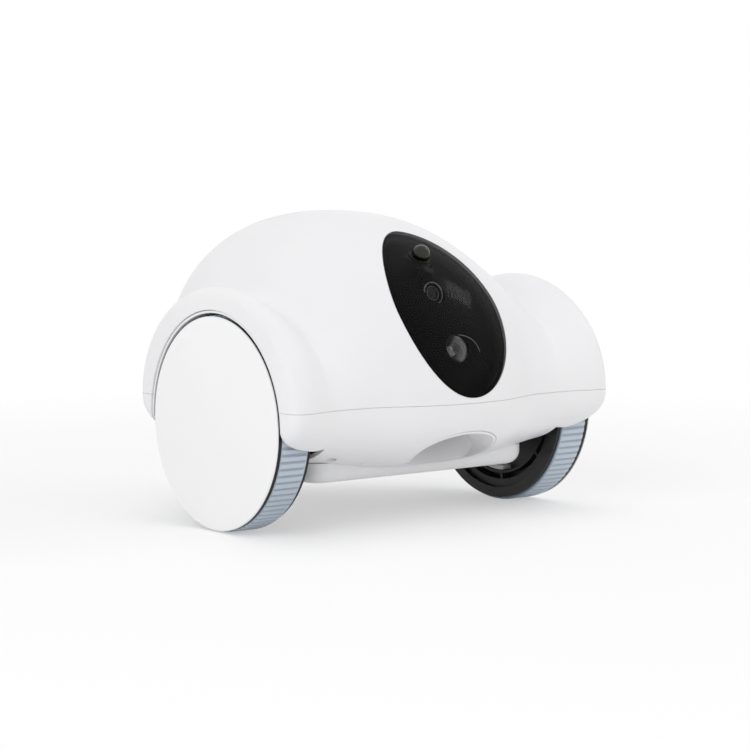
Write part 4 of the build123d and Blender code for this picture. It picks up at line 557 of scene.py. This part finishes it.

# Painted highlight: a thin pale bead round the upper right of the lamp's recess, on the tub's floor, whose
# light colour stands in for the light along the recess's edge
ARC_ROUTE = np.array(
    (
        (0.0028, -0.1014, 0.1132),
        (0.0072, -0.1016, 0.1124),
        (0.0115, -0.1020, 0.1110),
        (0.0150, -0.1032, 0.1074),
        (0.0167, -0.1049, 0.1027),
    )
)


def edge_bead(name, route, radius, steps=48, sides=10):
    """Point = route(t) + radius * taper(t) * circle(angle): a polynomial through the route's points,
    carried by a small circle that closes to nothing at both ends."""
    at = np.linspace(0, 1, len(route))
    t = np.linspace(0, 1, steps)
    fits = [np.polyfit(at, route[:, axis], 3) for axis in range(3)]
    line = np.stack([np.polyval(fit, t) for fit in fits], axis=-1)
    along = np.gradient(line, axis=0)
    along /= np.linalg.norm(along, axis=1)[:, None]
    across = np.cross(along, EYE)
    across /= np.linalg.norm(across, axis=1)[:, None]
    over = np.cross(across, along)
    taper = np.sqrt(np.clip(1 - (2 * t - 1) ** 8, 0, 1))[:, None, None]
    angle = np.linspace(0, 2 * np.pi, sides, endpoint=False)[None, :, None]
    ring = np.cos(angle) * across[:, None, :] + np.sin(angle) * over[:, None, :]
    return grid_mesh(name, line[:, None, :] + radius * taper * ring, close_v=True)


# The bead's pale satin paints the edge's highlight on the black fascia
settle(edge_bead("lamp_recess_highlight_bead", ARC_ROUTE, 0.00028), "fascia", ring_satin)

# Floor, light and camera
FLOOR_REACH = 4.0
FADE_START, FADE_END, FADE_LEAST = 0.2, 0.8, 0.45
WORLD_DIFFUSE, WORLD_SEEN = 0.64, 1.0


def fading_paint():
    """Pale paint that turns, away from the object, into the plain white of the background."""
    material = plastic("floor_paint", (0.93, 0.93, 0.93), 0.9)
    vary_colour(material, noise_of(material, 2.0), (0.925, 0.925, 0.925), (0.935, 0.935, 0.935))
    place = node_of(material, "ShaderNodeTexCoord")
    reach = node_of(material, "ShaderNodeVectorMath", operation="LENGTH")
    fade = node_of(
        material,
        "ShaderNodeMapRange",
        interpolation_type="SMOOTHSTEP",
        inputs={"From Min": FADE_START, "From Max": FADE_END, "To Min": FADE_LEAST},
    )
    path = node_of(material, "ShaderNodeLightPath")
    seen = node_of(material, "ShaderNodeMath", operation="MAXIMUM")
    seen_all = node_of(material, "ShaderNodeMath", operation="MAXIMUM")
    share = node_of(material, "ShaderNodeMath", operation="MULTIPLY")
    glow = node_of(material, "ShaderNodeEmission")
    mix = node_of(material, "ShaderNodeMixShader")
    outlet = material.node_tree.nodes["Material Output"]
    shader = material.node_tree.nodes["Principled BSDF"]
    join(material, place.outputs["Object"], reach.inputs[0], reach.outputs["Value"], fade.inputs["Value"])
    join(material, path.outputs["Is Camera Ray"], seen.inputs[0])
    join(material, path.outputs["Is Glossy Ray"], seen.inputs[1])
    join(material, seen.outputs[0], seen_all.inputs[0])
    join(material, path.outputs["Is Transmission Ray"], seen_all.inputs[1])
    join(material, seen_all.outputs[0], share.inputs[0], fade.outputs["Result"], share.inputs[1])
    join(material, share.outputs[0], mix.inputs["Fac"], shader.outputs["BSDF"], mix.inputs[1])
    join(material, glow.outputs["Emission"], mix.inputs[2], mix.outputs["Shader"], outlet.inputs["Surface"])
    return material


floor_mesh = bpy.data.meshes.new("floor")
corner_signs = ((-1, -1), (1, -1), (1, 1), (-1, 1))
floor_mesh.from_pydata([(FLOOR_REACH * x, FLOOR_REACH * y, 0) for x, y in corner_signs], [], [(0, 1, 2, 3)])
floor = bpy.data.objects.new("floor", floor_mesh)
bpy.context.scene.collection.objects.link(floor)
floor_mesh.materials.append(fading_paint())

# White world, weaker where it lights the skins than where it is seen, mirrored or shines through
world = bpy.data.worlds.new("studio")
bpy.context.scene.world = world
world.use_nodes = True
sky = world.node_tree.nodes["Background"]
sky.inputs["Color"].default_value = (1, 1, 1, 1)
rays = node_of(world, "ShaderNodeLightPath")
level = node_of(world, "ShaderNodeMapRange", inputs={"To Min": WORLD_DIFFUSE, "To Max": WORLD_SEEN})
seen = node_of(world, "ShaderNodeMath", operation="MAXIMUM")
mirrored = node_of(world, "ShaderNodeMath", operation="MAXIMUM")
join(world, rays.outputs["Is Camera Ray"], seen.inputs[0])
join(world, rays.outputs["Is Transmission Ray"], seen.inputs[1])
join(world, seen.outputs[0], mirrored.inputs[0])
join(world, rays.outputs["Is Glossy Ray"], mirrored.inputs[1])
join(world, mirrored.outputs[0], level.inputs["Value"], level.outputs["Result"], sky.inputs["Strength"])


def soft_light(name, place, target, size, power, mirrored=False):
    """Square softbox that faces a target; only a mirrored one shows in glossy skins."""
    data = bpy.data.lights.new(name, "AREA")
    data.shape = "SQUARE"
    data.size = size
    data.energy = power
    lamp = bpy.data.objects.new(name, data)
    lamp.location = place
    aim = Vector(target) - Vector(place)
    lamp.rotation_euler = aim.to_track_quat("-Z", "Y").to_euler()
    lamp.visible_glossy = mirrored
    bpy.context.scene.collection.objects.link(lamp)


soft_light("key", (-1.6, -0.8, 1.2), (0, 0, 0.08), 1.4, 14.5)
soft_light("fill", (1.5, -1.1, 0.9), (0, 0, 0.08), 1.2, 7)
soft_light("top", (0.1, 0.3, 1.9), (0, 0, 0.1), 1.4, 5)
soft_light("window", (0.92, -0.25, 1.02), (0.008, -0.097, 0.136), 0.27, 0.5, mirrored=True)

# Camera of the photograph: its place in metres, the way it looks, and its lens in millimetres
VIEW_FROM = (-0.94202, -1.22608, 0.23165)
VIEW_ALONG = Vector((0.6148, 0.7828, -0.0962))
SENSOR_WIDTH, FOCAL_LENGTH = 36, 121.3
camera_data = bpy.data.cameras.new("camera")
camera_data.sensor_width = SENSOR_WIDTH
camera_data.lens = FOCAL_LENGTH
camera = bpy.data.objects.new("camera", camera_data)
camera.location = VIEW_FROM
camera.rotation_euler = VIEW_ALONG.to_track_quat("-Z", "Y").to_euler()
bpy.context.scene.collection.objects.link(camera)
bpy.context.scene.camera = camera
bpy.context.scene.view_settings.view_transform = "Standard"
